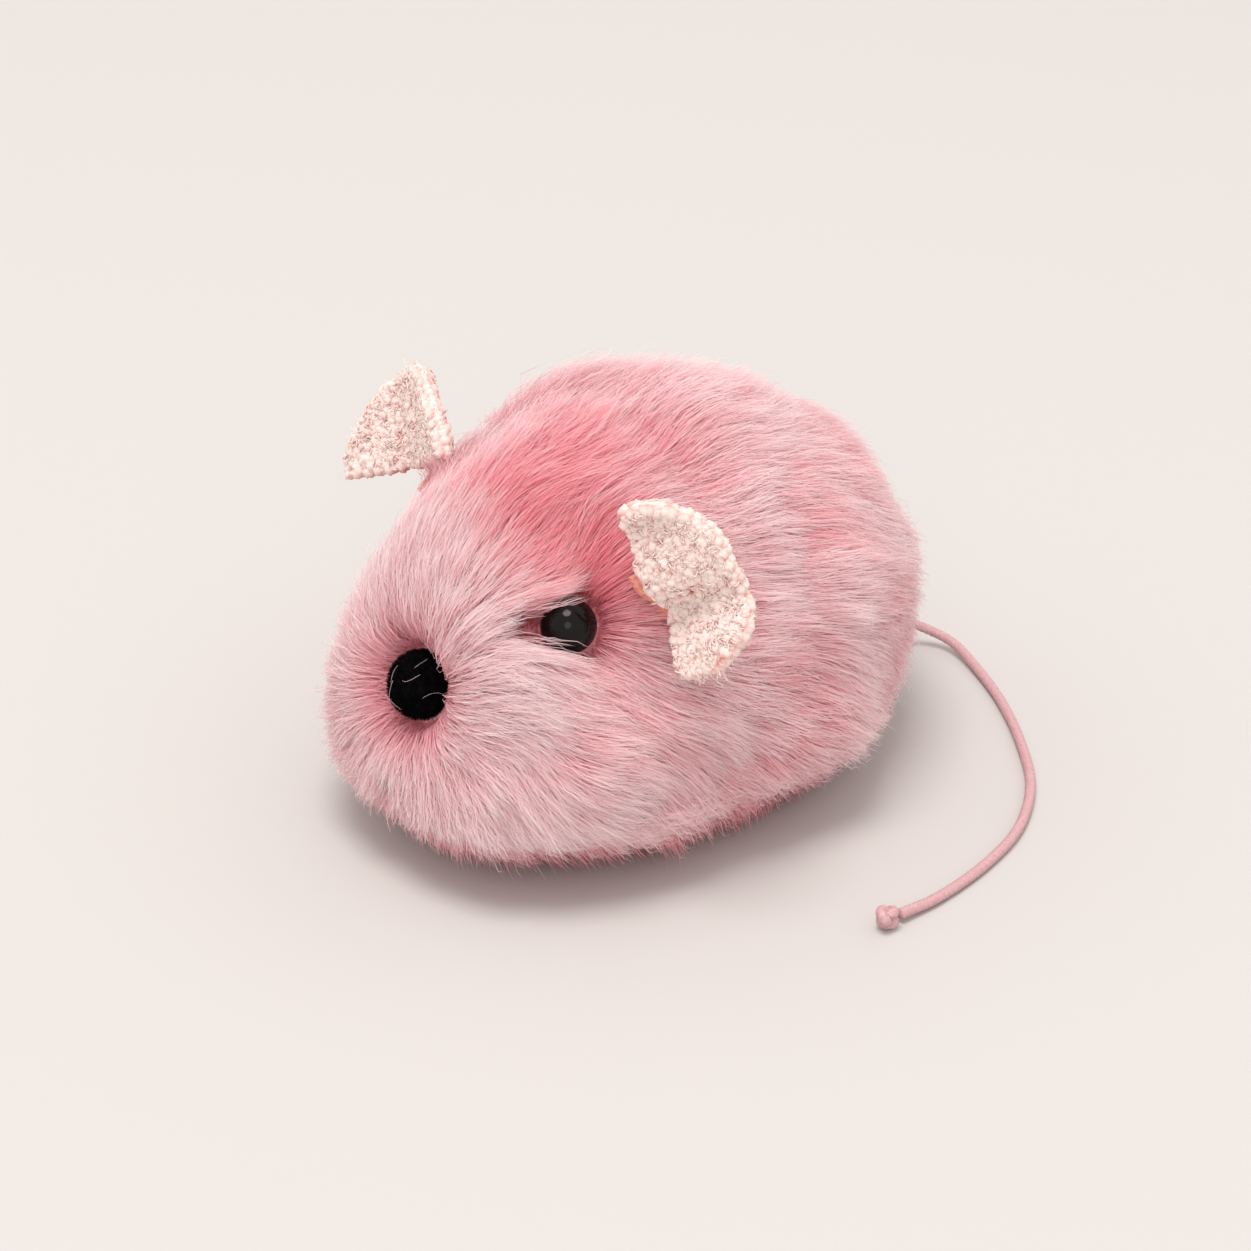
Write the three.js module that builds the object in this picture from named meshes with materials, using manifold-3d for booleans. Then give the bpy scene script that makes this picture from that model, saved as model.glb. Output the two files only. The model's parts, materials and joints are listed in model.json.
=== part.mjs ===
// Clockwork mouse: a fur-covered wind-up toy.
// Millimetres, +Z up, nose towards -Y. The origin is on the table, below the middle of the fur body.
// The mouse's own left is +X. The winding knob is on its right flank.
import * as THREE from "three";
import { mergeVertices } from "three/addons/utils/BufferGeometryUtils.js";
import Module from "manifold-3d";

const wasm = await Module();
wasm.setup();

// ---------------------------------------------------------------- driving dimensions

const GAP = 0.3; // between pieces that rest on each other
const RUNNING = 0.1; // radial clearance of a shaft in its bore

// The outer surface of the brushed fur. Its cross-section is widest and tallest at WIDEST_Y.
const FUR = { front: -49, rear: 49, halfWidth: 36, top: 60.5, bottom: 1.6, squareness: 3.4, rump: 1.35 };
const WIDEST_Y = 5;
const LEVEL = { front: 17.5, rear: 24 }; // height of the body's widest level, at each end
const PILE = 10; // fur thickness over the plastic shell
const FRONT_BLUNTNESS = 2.35;
const DOME_SQUARENESS = 2;
const BELLY_TAPER = 0.65; // below 1, so the belly stays low towards both ends
const FORM_SIDES = 24;
const FORM_RINGS = 15;

const SHELL_WALL = 1.6;
const SHELL_FLOOR_Z = 1; // where the shell's curve would close if it weren't cut open
const SHELL_SQUARENESS = 3;
const SHELL_RUMP = 2.1; // the shell ends more bluntly than the fur's combed surface
const WHEEL_RADIUS = 9; // over the tyre
const BASE_DROP = 3.8; // from the drive axle down to the base plate's underside
const BASE_THICKNESS = 2;
const BASE_Z = WHEEL_RADIUS - BASE_DROP;
const BASE_TOP_Z = BASE_Z + BASE_THICKNESS;
const SHELL_EDGE_Z = BASE_TOP_Z + GAP;
const HEM_WIDTH = 2; // how far the fur laps under the base plate

// Face
const EYE = { radius: 3.8, stem: 1.2, y: -24.3, angle: 0.79, rise: 1.9 };
const NOSE = { radius: 4.8, stem: 1.4, y: -37.6, angle: Math.PI / 2, rise: 0.2 };
const STEM_LENGTH = 6;
const WASHER = { thickness: 0.9, width: 1.9 };
const WELL_GROWTH = 1.5; // how much wider the parting in the fur is at the surface than at the shell

// Ears: half discs of cloth. Each stands on its straight edge, on the fur's surface.
const EAR = { reach: 12.5, halfEdge: 11.5, thickness: 1.8, cup: 3.5, y: -17.5, angle: 0.7 };
const EAR_ROOT = { depth: 8, width: 9 }; // the tab that is sewn into the fur's backing
const EAR_STAND = { left: [0.8, 0.36, 0.36], right: [-0.42, 0.2, 0.85] }; // which way each rim points

// Tail
const CORD_RADIUS = 0.75;
const TAIL_KNOT_RADIUS = 1.9;
const ANCHOR_KNOT_RADIUS = 2.1;

// Movement: seen from the mouse's left, x runs backwards and y upwards. Depth is across the mouse.
const MODULE = 0.6;
const PRESSURE_ANGLE = THREE.MathUtils.degToRad(25);
const BACKLASH = 0.1; // taken off each tooth's thickness
const TEETH = {
  great: 36, centre: 30, centrePinion: 10, drivePinion: 10, escapePinion: 8, ratchet: 12, star: 12,
};
const MOST_CURVED_TEETH = 20; // above this a flank is so nearly straight that two points draw it
const WHEEL_ADDENDUM = 0.75; // in modules
const PINION_ADDENDUM = 1;
const PLATE = { inner: 7.5, thickness: 1 };
const ARBOR_RADIUS = 1.5; // the winding arbor
const CENTRE_SHAFT = { radius: 1.1, pivot: 0.9 };
const ESCAPE_SHAFT = { radius: 0.9, pivot: 0.7 };
const PIVOT_END = 0.5; // how far a pivot stands out of its plate
const WHEEL_THICKNESS = 1.2;
const WINDOWS = 5; // in each large wheel
const PINION_LENGTH = 2.4;
const DEPTH = {
  spring: -6.8, star: -3, ratchet: 0.1, centrePinion: 1.1, great: 1.7, lastPinions: 3.8, centre: 4.4,
}; // inner face of each, from the middle towards the left plate
const SPRING = { width: 6.2, strip: 0.45, inner: 2.3, outer: 10, turns: 6 };
const PILLAR = { radius: 1.4, pivot: 0.84 };
const AXLE = new THREE.Vector2(12, WHEEL_RADIUS);
const WINDING = new THREE.Vector2(0, 27);
const CENTRE = meetingPoint(
  WINDING, meshDistance(TEETH.great, TEETH.centrePinion),
  AXLE, meshDistance(TEETH.centre, TEETH.drivePinion),
);
const ESCAPE_DIRECTION = 1.25; // angle of the escape wheel's centre above the centre wheel's
const ESCAPE = polar(CENTRE, meshDistance(TEETH.centre, TEETH.escapePinion), ESCAPE_DIRECTION);
const STAR = { radius: 3.6, root: 2.6, thickness: 1 }; // the escape wheel
const VERGE = { arm: 5.75, direction: 0.35, spread: Math.PI / 4, clearance: 0.48, thickness: 1, pivot: 0.6 };
const RATCHET = { radius: 4, root: 3.1, thickness: 1.2 };
const RIVET = { reach: 7, angle: (2 * Math.PI) / 5, radius: 0.5, head: 0.9 }; // between two windows

// Winding knob
const KNOB = { clearance: 1.5, sunk: 0.5, hub: 3.3, span: 15, wing: 2.4, well: 2 };
const KNOB_NEAR = FUR.halfWidth - PILE + KNOB.clearance; // inner end, just outside the shell
const KNOB_FAR = FUR.halfWidth - KNOB.sunk;

// Running gear
const TYRE = { thickness: 1.6, width: 4 };
const WHEEL_NEAR = 11.4; // inner face of a drive wheel, from the middle
const AXLE_RADIUS = 1;
const WHEEL_SLOT_GAP = 0.8;
const FRONT_WHEEL = { radius: 4.5, width: 4, y: -22, pin: 0.8, fork: 1.6 };

// Fasteners
const SCREW = { head: 2, headHeight: 1, shank: 1, hole: 1.25, slot: 0.5 };
const BASE_SCREW_LENGTH = 7;
const MOTOR_SCREW_LENGTH = 5;
const BASE_SCREWS = [[12, -21], [-12, -21], [10.5, 27.5], [-10.5, 27.5]];
const POST = { radius: 2.3, top: 18, rib: 1.2 };
const MOTOR_WINDOW = { half: 4.6, margin: 0.8 }; // the opening under the drive pinion
const MOTOR_FOOT = { front: -12.5, rear: -4.5, reach: 5.5, thickness: 1, lift: 3 };
const PLATE_EDGE = { rear: 25.5, shoulder: 37, top: 43.4, topAt: 14, brow: 41 };
const FAR = 60; // beyond every surface, for cutting blocks

// ---------------------------------------------------------------- plane geometry

function polar(from, distance, angle) {
  return new THREE.Vector2(from.x + distance * Math.cos(angle), from.y + distance * Math.sin(angle));
}

function meshDistance(teethA, teethB) {
  return (MODULE * (teethA + teethB)) / 2;
}

// The point at distance ra from a and rb from b that lies above the line from a to b.
function meetingPoint(a, ra, b, rb) {
  const between = b.clone().sub(a);
  const d = between.length();
  const along = (ra * ra - rb * rb + d * d) / (2 * d);
  const off = Math.sqrt(ra * ra - along * along);
  const unit = between.divideScalar(d);
  return new THREE.Vector2(a.x + unit.x * along - unit.y * off, a.y + unit.y * along + unit.x * off);
}

function direction(from, to) {
  return Math.atan2(to.y - from.y, to.x - from.x);
}

// ---------------------------------------------------------------- solids

function solid(geometry) {
  const bare = geometry.clone();
  for (const name of ["normal", "uv"]) bare.deleteAttribute(name);
  const merged = mergeVertices(bare, 1e-4);
  return new wasm.Manifold(new wasm.Mesh({
    numProp: 3,
    vertProperties: merged.attributes.position.array,
    triVerts: new Uint32Array(merged.index.array),
  }));
}

function geometryOf(made) {
  const mesh = made.getMesh();
  const geometry = new THREE.BufferGeometry();
  geometry.setAttribute("position", new THREE.BufferAttribute(mesh.vertProperties, 3));
  geometry.setIndex(new THREE.BufferAttribute(mesh.triVerts, 1));
  geometry.computeVertexNormals();
  return geometry;
}

function joined(first, ...others) {
  return geometryOf(others.reduce((all, next) => all.add(solid(next)), solid(first)));
}

function cut(first, ...tools) {
  return geometryOf(tools.reduce((left, tool) => left.subtract(solid(tool)), solid(first)));
}

function common(first, second) {
  return geometryOf(solid(first).intersect(solid(second)));
}

// A box given by two opposite corners.
function block(x0, y0, z0, x1, y1, z1) {
  return new THREE.BoxGeometry(Math.abs(x1 - x0), Math.abs(y1 - y0), Math.abs(z1 - z0))
    .translate((x0 + x1) / 2, (y0 + y1) / 2, (z0 + z1) / 2);
}

// Everything below the height z.
function below(z) {
  return block(-FAR, -FAR, -FAR, FAR, FAR, z);
}

// A cylinder along Z from z0 to z1.
function rod(radius, z0, z1, x = 0, y = 0, sides = 20) {
  return new THREE.CylinderGeometry(radius, radius, z1 - z0, sides)
    .rotateX(Math.PI / 2)
    .translate(x, y, (z0 + z1) / 2);
}

// A turned piece about Z, from [radius, height] pairs that start and end on the axis, or close.
function turned(profile, sides = 24) {
  const points = profile.map(([r, z]) => new THREE.Vector2(r, z));
  return new THREE.LatheGeometry(points, sides).rotateX(Math.PI / 2);
}

// A turned ring about Z with a rectangular section.
function ring(inner, outer, z0, z1, sides) {
  return turned([[inner, z0], [outer, z0], [outer, z1], [inner, z1], [inner, z0]], sides);
}

function extruded(shape, z0, z1, curveSegments = 8) {
  const options = { depth: z1 - z0, bevelEnabled: false, curveSegments };
  return new THREE.ExtrudeGeometry(shape, options).translate(0, 0, z0);
}

function outline(pairs) {
  return new THREE.Shape(pairs.map(([x, y]) => new THREE.Vector2(x, y)));
}

const ORIGIN = new THREE.Vector2(0, 0);

function circleHole(shape, x, y, radius) {
  const hole = new THREE.Path();
  hole.absarc(x, y, radius, 0, 2 * Math.PI, true);
  shape.holes.push(hole);
}

// ---------------------------------------------------------------- materials

function finish(color, roughness, metalness = 0) {
  return new THREE.MeshStandardMaterial({ color, roughness, metalness });
}

const MATERIAL = {
  fur: finish(0xeba8b4, 0.95),
  terry: finish(0xf7dcd3, 0.95),
  eyeBead: finish(0x0a0a0c, 0.12),
  flock: finish(0x0d0d0e, 0.9),
  cord: finish(0xe8a0a8, 0.7),
  pinkPlastic: finish(0xe59aa8, 0.45),
  basePlastic: finish(0xd8808f, 0.5),
  knobPlastic: finish(0xf4eee8, 0.4),
  washerPlastic: finish(0xe8e8e4, 0.5),
  steel: finish(0xa8abb0, 0.35, 1),
  springSteel: finish(0x4a5468, 0.4, 1),
  brass: finish(0xc9a24a, 0.35, 1),
  hubPlastic: finish(0x2c2c30, 0.5),
  rubber: finish(0x1c1c1e, 0.85),
};

const toy = new THREE.Group();

function place(parent, name, geometry, material) {
  const mesh = new THREE.Mesh(geometry, material);
  mesh.name = name;
  parent.add(mesh);
  return mesh;
}

// ---------------------------------------------------------------- body form

function levelAt(y) {
  return THREE.MathUtils.mapLinear(y, FUR.front, FUR.rear, LEVEL.front, LEVEL.rear);
}

// The same egg shape at any size: front, rear, halfWidth, top and bottom are where its surface lies,
// squareness is how flat its belly is, and rump how bluntly it ends.
function formAt(form, y, angle) {
  const towardsFront = y < WIDEST_Y;
  const reach = towardsFront ? WIDEST_Y - form.front : form.rear - WIDEST_Y;
  const share = Math.min(1, Math.abs(y - WIDEST_Y) / reach);
  const swell = Math.sqrt(1 - share ** (towardsFront ? FRONT_BLUNTNESS : form.rump));
  const [c, s] = [Math.cos(angle), Math.sin(angle)];
  const power = 2 / (s > 0 ? DOME_SQUARENESS : form.squareness);
  const level = levelAt(y);
  const height = s > 0 ? (form.top - level) * swell : (level - form.bottom) * swell ** BELLY_TAPER;
  return new THREE.Vector3(
    form.halfWidth * swell * Math.sign(c) * Math.abs(c) ** power,
    y,
    level + height * Math.sign(s) * Math.abs(s) ** power,
  );
}

// A unit sphere with its poles at nose and rump, pushed out to the form.
function formGeometry(form) {
  const geometry = new THREE.SphereGeometry(1, FORM_SIDES, FORM_RINGS).rotateX(Math.PI / 2);
  const at = geometry.attributes.position;
  for (let i = 0; i < at.count; i++) {
    const t = THREE.MathUtils.clamp(at.getY(i), -1, 1);
    const y = WIDEST_Y + (t < 0 ? t * (WIDEST_Y - form.front) : t * (form.rear - WIDEST_Y));
    const onPole = Math.abs(t) > 1 - 1e-6;
    const p = formAt(form, y, onPole ? 0 : Math.atan2(at.getZ(i), at.getX(i)));
    at.setXYZ(i, onPole ? 0 : p.x, y, onPole ? levelAt(y) : p.z);
  }
  return geometry;
}

// The plastic body's surface, moved inwards by inset.
function hardForm(inset) {
  const depth = PILE + inset;
  return {
    front: FUR.front + depth,
    rear: FUR.rear - depth,
    halfWidth: FUR.halfWidth - depth,
    top: FUR.top - depth,
    bottom: SHELL_FLOOR_Z + inset,
    squareness: SHELL_SQUARENESS,
    rump: SHELL_RUMP,
  };
}

// A frame standing on a form's surface, with its Z axis straight out of it. A side of -1 mirrors it.
function standingFrame(form, y, angle, side = 1) {
  const step = 0.02;
  const at = formAt(form, y, angle);
  const lengthwise = formAt(form, y + step * 10, angle).sub(at);
  const around = formAt(form, y, angle + step).sub(at);
  const out = lengthwise.cross(around).normalize();
  at.x *= side;
  out.x *= side;
  const upwards = new THREE.Vector3(0, 0, 1).addScaledVector(out, -out.z).normalize();
  const sideways = new THREE.Vector3().crossVectors(upwards, out);
  return new THREE.Matrix4().makeBasis(sideways, upwards, out).setPosition(at);
}

// ---------------------------------------------------------------- face

const faceFrames = {
  left: standingFrame(hardForm(0), EYE.y, EYE.angle, 1),
  right: standingFrame(hardForm(0), EYE.y, EYE.angle, -1),
  nose: standingFrame(hardForm(0), NOSE.y, NOSE.angle),
};

function bead({ radius, stem, rise }) {
  const floor = Math.asin((GAP - rise) / radius);
  const steps = 9;
  const dome = Array.from({ length: steps + 1 }, (_, i) => {
    const a = floor + ((Math.PI / 2 - floor) * i) / steps;
    return [i === steps ? 0 : radius * Math.cos(a), rise + radius * Math.sin(a)];
  });
  return turned([[0, -STEM_LENGTH], [stem, -STEM_LENGTH], [stem, GAP], ...dome], 20);
}

function lockWasher({ stem }) {
  const top = -SHELL_WALL - 3 * GAP;
  return ring(stem + RUNNING, stem + WASHER.width, top - WASHER.thickness, top, 20);
}

function stemHole({ stem }) {
  return rod(stem + GAP, -STEM_LENGTH, PILE);
}

// The parting that the fur leaves round a bead, wider at the fur's surface.
function parting({ radius }) {
  const depth = 2 * PILE;
  return new THREE.CylinderGeometry(radius * WELL_GROWTH + GAP, radius + 2 * GAP, depth, 20)
    .rotateX(Math.PI / 2)
    .translate(0, 0, depth / 2 - 1);
}

function addFace() {
  for (const side of ["left", "right"]) {
    place(toy, `eye_${side}`, bead(EYE).applyMatrix4(faceFrames[side]), MATERIAL.eyeBead);
    place(toy, `eye_washer_${side}`, lockWasher(EYE).applyMatrix4(faceFrames[side]), MATERIAL.washerPlastic);
  }
  place(toy, "nose", bead(NOSE).applyMatrix4(faceFrames.nose), MATERIAL.flock);
  place(toy, "nose_washer", lockWasher(NOSE).applyMatrix4(faceFrames.nose), MATERIAL.washerPlastic);
}

// ---------------------------------------------------------------- ears

// The cloth's section along its straight edge: an arc whose ends come forwards, offset to both sides.
function cuppedSection(halfEdge, thickness) {
  const steps = 10;
  const line = (offset) => Array.from({ length: steps + 1 }, (_, i) => {
    const along = (2 * i) / steps - 1;
    return [along * halfEdge, EAR.cup * along ** 2 + offset];
  });
  return outline([...line(-thickness / 2), ...line(thickness / 2).reverse()]);
}

// The ear as it lies flat: x towards the rim, y along the straight edge, z forwards.
function earCloth(grow) {
  const { reach, halfEdge, thickness } = EAR;
  const strip = extruded(cuppedSection(halfEdge + grow, thickness + 2 * grow), -grow, reach + grow);
  strip.applyMatrix4(new THREE.Matrix4().makeBasis(
    new THREE.Vector3(0, 1, 0), new THREE.Vector3(0, 0, 1), new THREE.Vector3(1, 0, 0)));
  const halfDisc = new THREE.Shape();
  halfDisc.absellipse(0, 0, reach + grow, halfEdge + grow, -Math.PI / 2, Math.PI / 2, false);
  const cutter = extruded(halfDisc, -thickness - grow, EAR.cup + 2 * thickness + grow, 9);
  return common(strip, cutter.translate(-grow, 0, 0));
}

function earFrame(at, outwards) {
  const forwards = new THREE.Vector3(0, -1, 0).addScaledVector(outwards, outwards.y).normalize();
  const sideways = new THREE.Vector3().crossVectors(forwards, outwards);
  return new THREE.Matrix4().makeBasis(outwards, sideways, forwards).setPosition(at);
}

function ear(side, grow = 0) {
  const mirror = side === "left" ? 1 : -1;
  const foot = standingFrame(FUR, EAR.y, EAR.angle, mirror);
  const at = new THREE.Vector3().setFromMatrixPosition(foot);
  const normal = new THREE.Vector3().setFromMatrixColumn(foot, 2);
  const stand = new THREE.Vector3(...EAR_STAND[side]).normalize();
  const cloth = earCloth(grow).applyMatrix4(earFrame(at, stand));
  const [halfWidth, halfThickness] = [EAR_ROOT.width / 2 + grow, EAR.thickness / 2 + grow];
  const depth = EAR_ROOT.depth + grow;
  const root = block(-depth, -halfWidth, -halfThickness, halfThickness, halfWidth, halfThickness);
  return joined(cloth, root.applyMatrix4(earFrame(at, normal)));
}

function addEars() {
  place(toy, "ear_left", ear("left"), MATERIAL.terry);
  place(toy, "ear_right", ear("right"), MATERIAL.terry);
}

// ---------------------------------------------------------------- tail

// From the knot inside the shell, out at the rump, down to the table and round to the left.
const TAIL_ROUTE = [
  [0, 29.6, 12], [0, 35, 11.9], [0, 40, 11.2], [0, 45, 9.6], [0.2, 49.7, 7.2],
  [1, 54, 4.9], [3.4, 57.7, 2.9], [8, 59.1, 1.7], [15, 56.9, 1], [24, 52.4, 0.8],
  [34, 45.7, 0.8], [43.6, 37.4, 0.8], [50.5, 27.3, 0.8], [54, 16.6, 0.8],
  [55.5, 6, 0.9], [55.4, -1.6, 1.3],
].map((p) => new THREE.Vector3(...p));
const CORD_SIDES = 8;
const CORD_STEPS = 38;

function cordSection(radius) {
  const shape = new THREE.Shape();
  shape.absarc(0, 0, radius, 0, 2 * Math.PI, false);
  return shape;
}

function tube(points, radius, steps) {
  const path = new THREE.CatmullRomCurve3(points);
  const options = { steps, extrudePath: path, curveSegments: CORD_SIDES / 2, bevelEnabled: false };
  return new THREE.ExtrudeGeometry(cordSection(radius), options);
}

// A single overhand knot, plain: a ball a little longer than it is wide.
function knot(radius, from, towards) {
  const along = towards.clone().sub(from).normalize();
  const ball = new THREE.SphereGeometry(radius, 14, 9).scale(1, 1.12, 1);
  ball.applyQuaternion(new THREE.Quaternion().setFromUnitVectors(new THREE.Vector3(0, 1, 0), along));
  const centre = towards.clone().addScaledVector(along, radius * 1.12 + GAP);
  return ball.translate(centre.x, centre.y, Math.max(centre.z, radius + 0.05));
}

function tailTunnel() {
  const start = new THREE.CatmullRomCurve3(TAIL_ROUTE).getSpacedPoints(60).slice(0, 12);
  return tube(start, CORD_RADIUS + GAP, 12);
}

function addTail() {
  const [first, second] = TAIL_ROUTE;
  const [before, last] = TAIL_ROUTE.slice(-2);
  place(toy, "tail_cord", tube(TAIL_ROUTE, CORD_RADIUS, CORD_STEPS), MATERIAL.cord);
  place(toy, "tail_knot", knot(TAIL_KNOT_RADIUS, before, last), MATERIAL.cord);
  place(toy, "tail_anchor_knot", knot(ANCHOR_KNOT_RADIUS, second, first), MATERIAL.cord);
}

// ---------------------------------------------------------------- covers

// Where the movement's parts reach through the covers. The movement's own frame maps depth to X.
function windingBore(radius, from, to) {
  return rod(radius, from, to).rotateY(-Math.PI / 2).translate(0, WINDING.x, WINDING.y);
}

function addFur() {
  const plastic = cut(formGeometry(hardForm(-GAP)), below(BASE_Z - GAP));
  const belly = formGeometry(hardForm(HEM_WIDTH)).translate(0, 0, -BASE_Z);
  const partings = [
    parting(EYE).applyMatrix4(faceFrames.left),
    parting(EYE).applyMatrix4(faceFrames.right),
    parting(NOSE).applyMatrix4(faceFrames.nose),
  ];
  const knobWell = windingBore(KNOB.span / 2 + KNOB.well, KNOB_NEAR - 3, FUR.halfWidth + 5);
  const fur = cut(formGeometry(FUR), plastic, belly, ...partings, knobWell, tailTunnel(),
    ear("left", GAP), ear("right", GAP));
  place(toy, "fur_cover", fur, MATERIAL.fur);
}

// A screw post inside the shell, with a rib out to the wall.
function shellPost(x, y) {
  const side = Math.sign(x);
  const rib = block(x, y - POST.rib / 2, SHELL_EDGE_Z, side * FUR.halfWidth, y + POST.rib / 2, POST.top);
  return joined(rod(POST.radius, SHELL_EDGE_Z, POST.top, x, y, 16), rib);
}

function addShell() {
  const outer = formGeometry(hardForm(0));
  const inner = formGeometry(hardForm(SHELL_WALL));
  let wall = cut(outer, inner, below(SHELL_EDGE_Z));
  for (const [x, y] of BASE_SCREWS) {
    wall = joined(wall, common(shellPost(x, y), formGeometry(hardForm(SHELL_WALL / 2))));
    const depth = BASE_SCREW_LENGTH + GAP;
    wall = cut(wall, rod(SCREW.shank + RUNNING, 0, SHELL_EDGE_Z + depth, x, y, 12));
  }
  wall = cut(
    wall,
    stemHole(EYE).applyMatrix4(faceFrames.left),
    stemHole(EYE).applyMatrix4(faceFrames.right),
    stemHole(NOSE).applyMatrix4(faceFrames.nose),
    windingBore(ARBOR_RADIUS + 2 * GAP, PLATE.inner + 4, FUR.halfWidth),
    tailTunnel(),
    wheelSlot(1),
    wheelSlot(-1),
  );
  place(toy, "body_shell", wall, MATERIAL.pinkPlastic);
}

// The room that a drive wheel needs, cut out of the base plate and the shell's lower edge.
function wheelSlot(side) {
  const near = side * (WHEEL_NEAR - WHEEL_SLOT_GAP);
  const far = side * (WHEEL_NEAR + TYRE.width + WHEEL_SLOT_GAP);
  const half = WHEEL_RADIUS + WHEEL_SLOT_GAP;
  return block(near, AXLE.x - half, 0, far, AXLE.x + half, AXLE.y + half);
}

// Two lugs under the base plate that hold the front wheel's pin, and the slot between them.
function frontFork() {
  const { width, y, pin, fork, radius } = FRONT_WHEEL;
  const inner = width / 2 + WHEEL_SLOT_GAP / 2;
  const half = pin + fork;
  const [low, high] = [radius - half + GAP, BASE_Z + BASE_THICKNESS / 4];
  const lugs = [1, -1].map((side) =>
    block(side * inner, y - half, low, side * (inner + fork), y + half, high));
  const reach = radius + WHEEL_SLOT_GAP;
  return { lugs, slot: block(-inner, y - reach, 0, inner, y + reach, 2 * reach) };
}

function frontPinReach() {
  return FRONT_WHEEL.width / 2 + FRONT_WHEEL.fork + WHEEL_SLOT_GAP;
}

function motorScrewPlaces() {
  const x = PLATE.inner + PLATE.thickness + MOTOR_FOOT.reach - SCREW.head - GAP;
  const y = (MOTOR_FOOT.front + MOTOR_FOOT.rear) / 2;
  return [[x, y], [-x, y]];
}

function addBase() {
  const slab = block(-FAR, -FAR, BASE_Z, FAR, FAR, BASE_TOP_Z);
  const fork = frontFork();
  let plate = joined(common(formGeometry(hardForm(0)), slab), ...fork.lugs);
  for (const [x, y] of motorScrewPlaces()) {
    const middle = (BASE_Z + BASE_TOP_Z) / 2;
    plate = joined(plate, rod(POST.radius, middle, BASE_TOP_Z + MOTOR_FOOT.lift, x, y, 16));
    plate = cut(plate, rod(SCREW.shank + RUNNING, middle, FAR, x, y, 12));
  }
  for (const [x, y] of BASE_SCREWS) {
    plate = cut(plate, rod(SCREW.hole, 0, FAR, x, y, 12));
    plate = cut(plate, rod(SCREW.head + 2 * RUNNING, 0, BASE_Z + SCREW.headHeight + RUNNING, x, y, 16));
  }
  const pinBore = rod(FRONT_WHEEL.pin + RUNNING, -frontPinReach(), frontPinReach())
    .rotateY(Math.PI / 2)
    .translate(0, FRONT_WHEEL.y, FRONT_WHEEL.radius);
  const inside = PLATE.inner - MOTOR_WINDOW.margin;
  const [front, rear] = [AXLE.x - MOTOR_WINDOW.half, AXLE.x + MOTOR_WINDOW.half];
  const window = block(-inside, front, 0, inside, rear, 2 * BASE_TOP_Z);
  plate = cut(plate, wheelSlot(1), wheelSlot(-1), fork.slot, pinBore, window);
  place(toy, "base_plate", plate, MATERIAL.basePlastic);
}

// ---------------------------------------------------------------- fasteners

// A pan-head screw with a single slot. Its head's bearing face is at 0, and its shank points to -Z.
function screw(length) {
  const { head, headHeight, shank } = SCREW;
  const body = turned([[0, -length], [shank * 0.4, -length], [shank, -length + 1], [shank, 0], [head, 0],
    [head, headHeight * 0.6], [head * 0.6, headHeight], [0, headHeight]], 12);
  const half = SCREW.slot / 2;
  return cut(body, block(-2 * head, -half, headHeight / 2, 2 * head, half, 2 * headHeight));
}

function addScrews() {
  BASE_SCREWS.forEach(([x, y], i) => {
    const made = screw(BASE_SCREW_LENGTH).rotateX(Math.PI).translate(x, y, BASE_Z + SCREW.headHeight);
    place(toy, `base_screw_${i + 1}`, made, MATERIAL.steel);
  });
  const footTop = BASE_TOP_Z + MOTOR_FOOT.lift + GAP + MOTOR_FOOT.thickness + GAP;
  motorScrewPlaces().forEach(([x, y], i) => {
    const made = screw(MOTOR_SCREW_LENGTH).translate(x, y, footTop);
    place(toy, `motor_screw_${i + 1}`, made, MATERIAL.steel);
  });
}

// ---------------------------------------------------------------- movement

// Local x is the toy's Y, local y its Z, and local z its X.
const movement = new THREE.Group();
movement.quaternion.setFromRotationMatrix(new THREE.Matrix4().makeBasis(
  new THREE.Vector3(0, 1, 0), new THREE.Vector3(0, 0, 1), new THREE.Vector3(1, 0, 0)));
toy.add(movement);

const involute = (angle) => Math.tan(angle) - angle;

// A spur gear's outline about the origin, with one tooth centred on the angle phase.
function gearShape(teeth, addendum, phase) {
  const pitch = (MODULE * teeth) / 2;
  const base = pitch * Math.cos(PRESSURE_ANGLE);
  const tip = pitch + addendum * MODULE;
  const root = pitch - 1.25 * MODULE;
  const halfAtPitch = (Math.PI * MODULE / 2 - BACKLASH) / 2 / pitch;
  const halfAt = (radius) =>
    halfAtPitch + involute(PRESSURE_ANGLE) - involute(Math.acos(Math.min(1, base / radius)));
  const start = Math.max(base, root);
  const curved = [start, (start + tip) / 2, tip];
  if (root < base) curved.unshift(root);
  const radii = teeth > MOST_CURVED_TEETH ? [root, tip] : curved;
  const points = [];
  for (let i = 0; i < teeth; i++) {
    const middle = phase + (2 * Math.PI * i) / teeth;
    points.push(...radii.map((r) => polar(ORIGIN, r, middle - halfAt(r))));
    points.push(...radii.map((r) => polar(ORIGIN, r, middle + halfAt(r))).reverse());
  }
  return new THREE.Shape(points);
}

// The phase of a gear at b that fits a gear at a with a tooth centred on phaseA.
function matingPhase(a, teethA, phaseA, b, teethB) {
  const towards = direction(a, b);
  const pitchA = (2 * Math.PI) / teethA;
  const early = THREE.MathUtils.euclideanModulo(towards - phaseA, pitchA);
  return towards + Math.PI + Math.PI / teethB + (early * teethA) / teethB;
}

const PHASE = { great: direction(WINDING, CENTRE), centre: direction(CENTRE, AXLE) };
PHASE.centrePinion = matingPhase(WINDING, TEETH.great, PHASE.great, CENTRE, TEETH.centrePinion);
PHASE.drivePinion = matingPhase(CENTRE, TEETH.centre, PHASE.centre, AXLE, TEETH.drivePinion);
PHASE.escapePinion = matingPhase(CENTRE, TEETH.centre, PHASE.centre, ESCAPE, TEETH.escapePinion);

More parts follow.
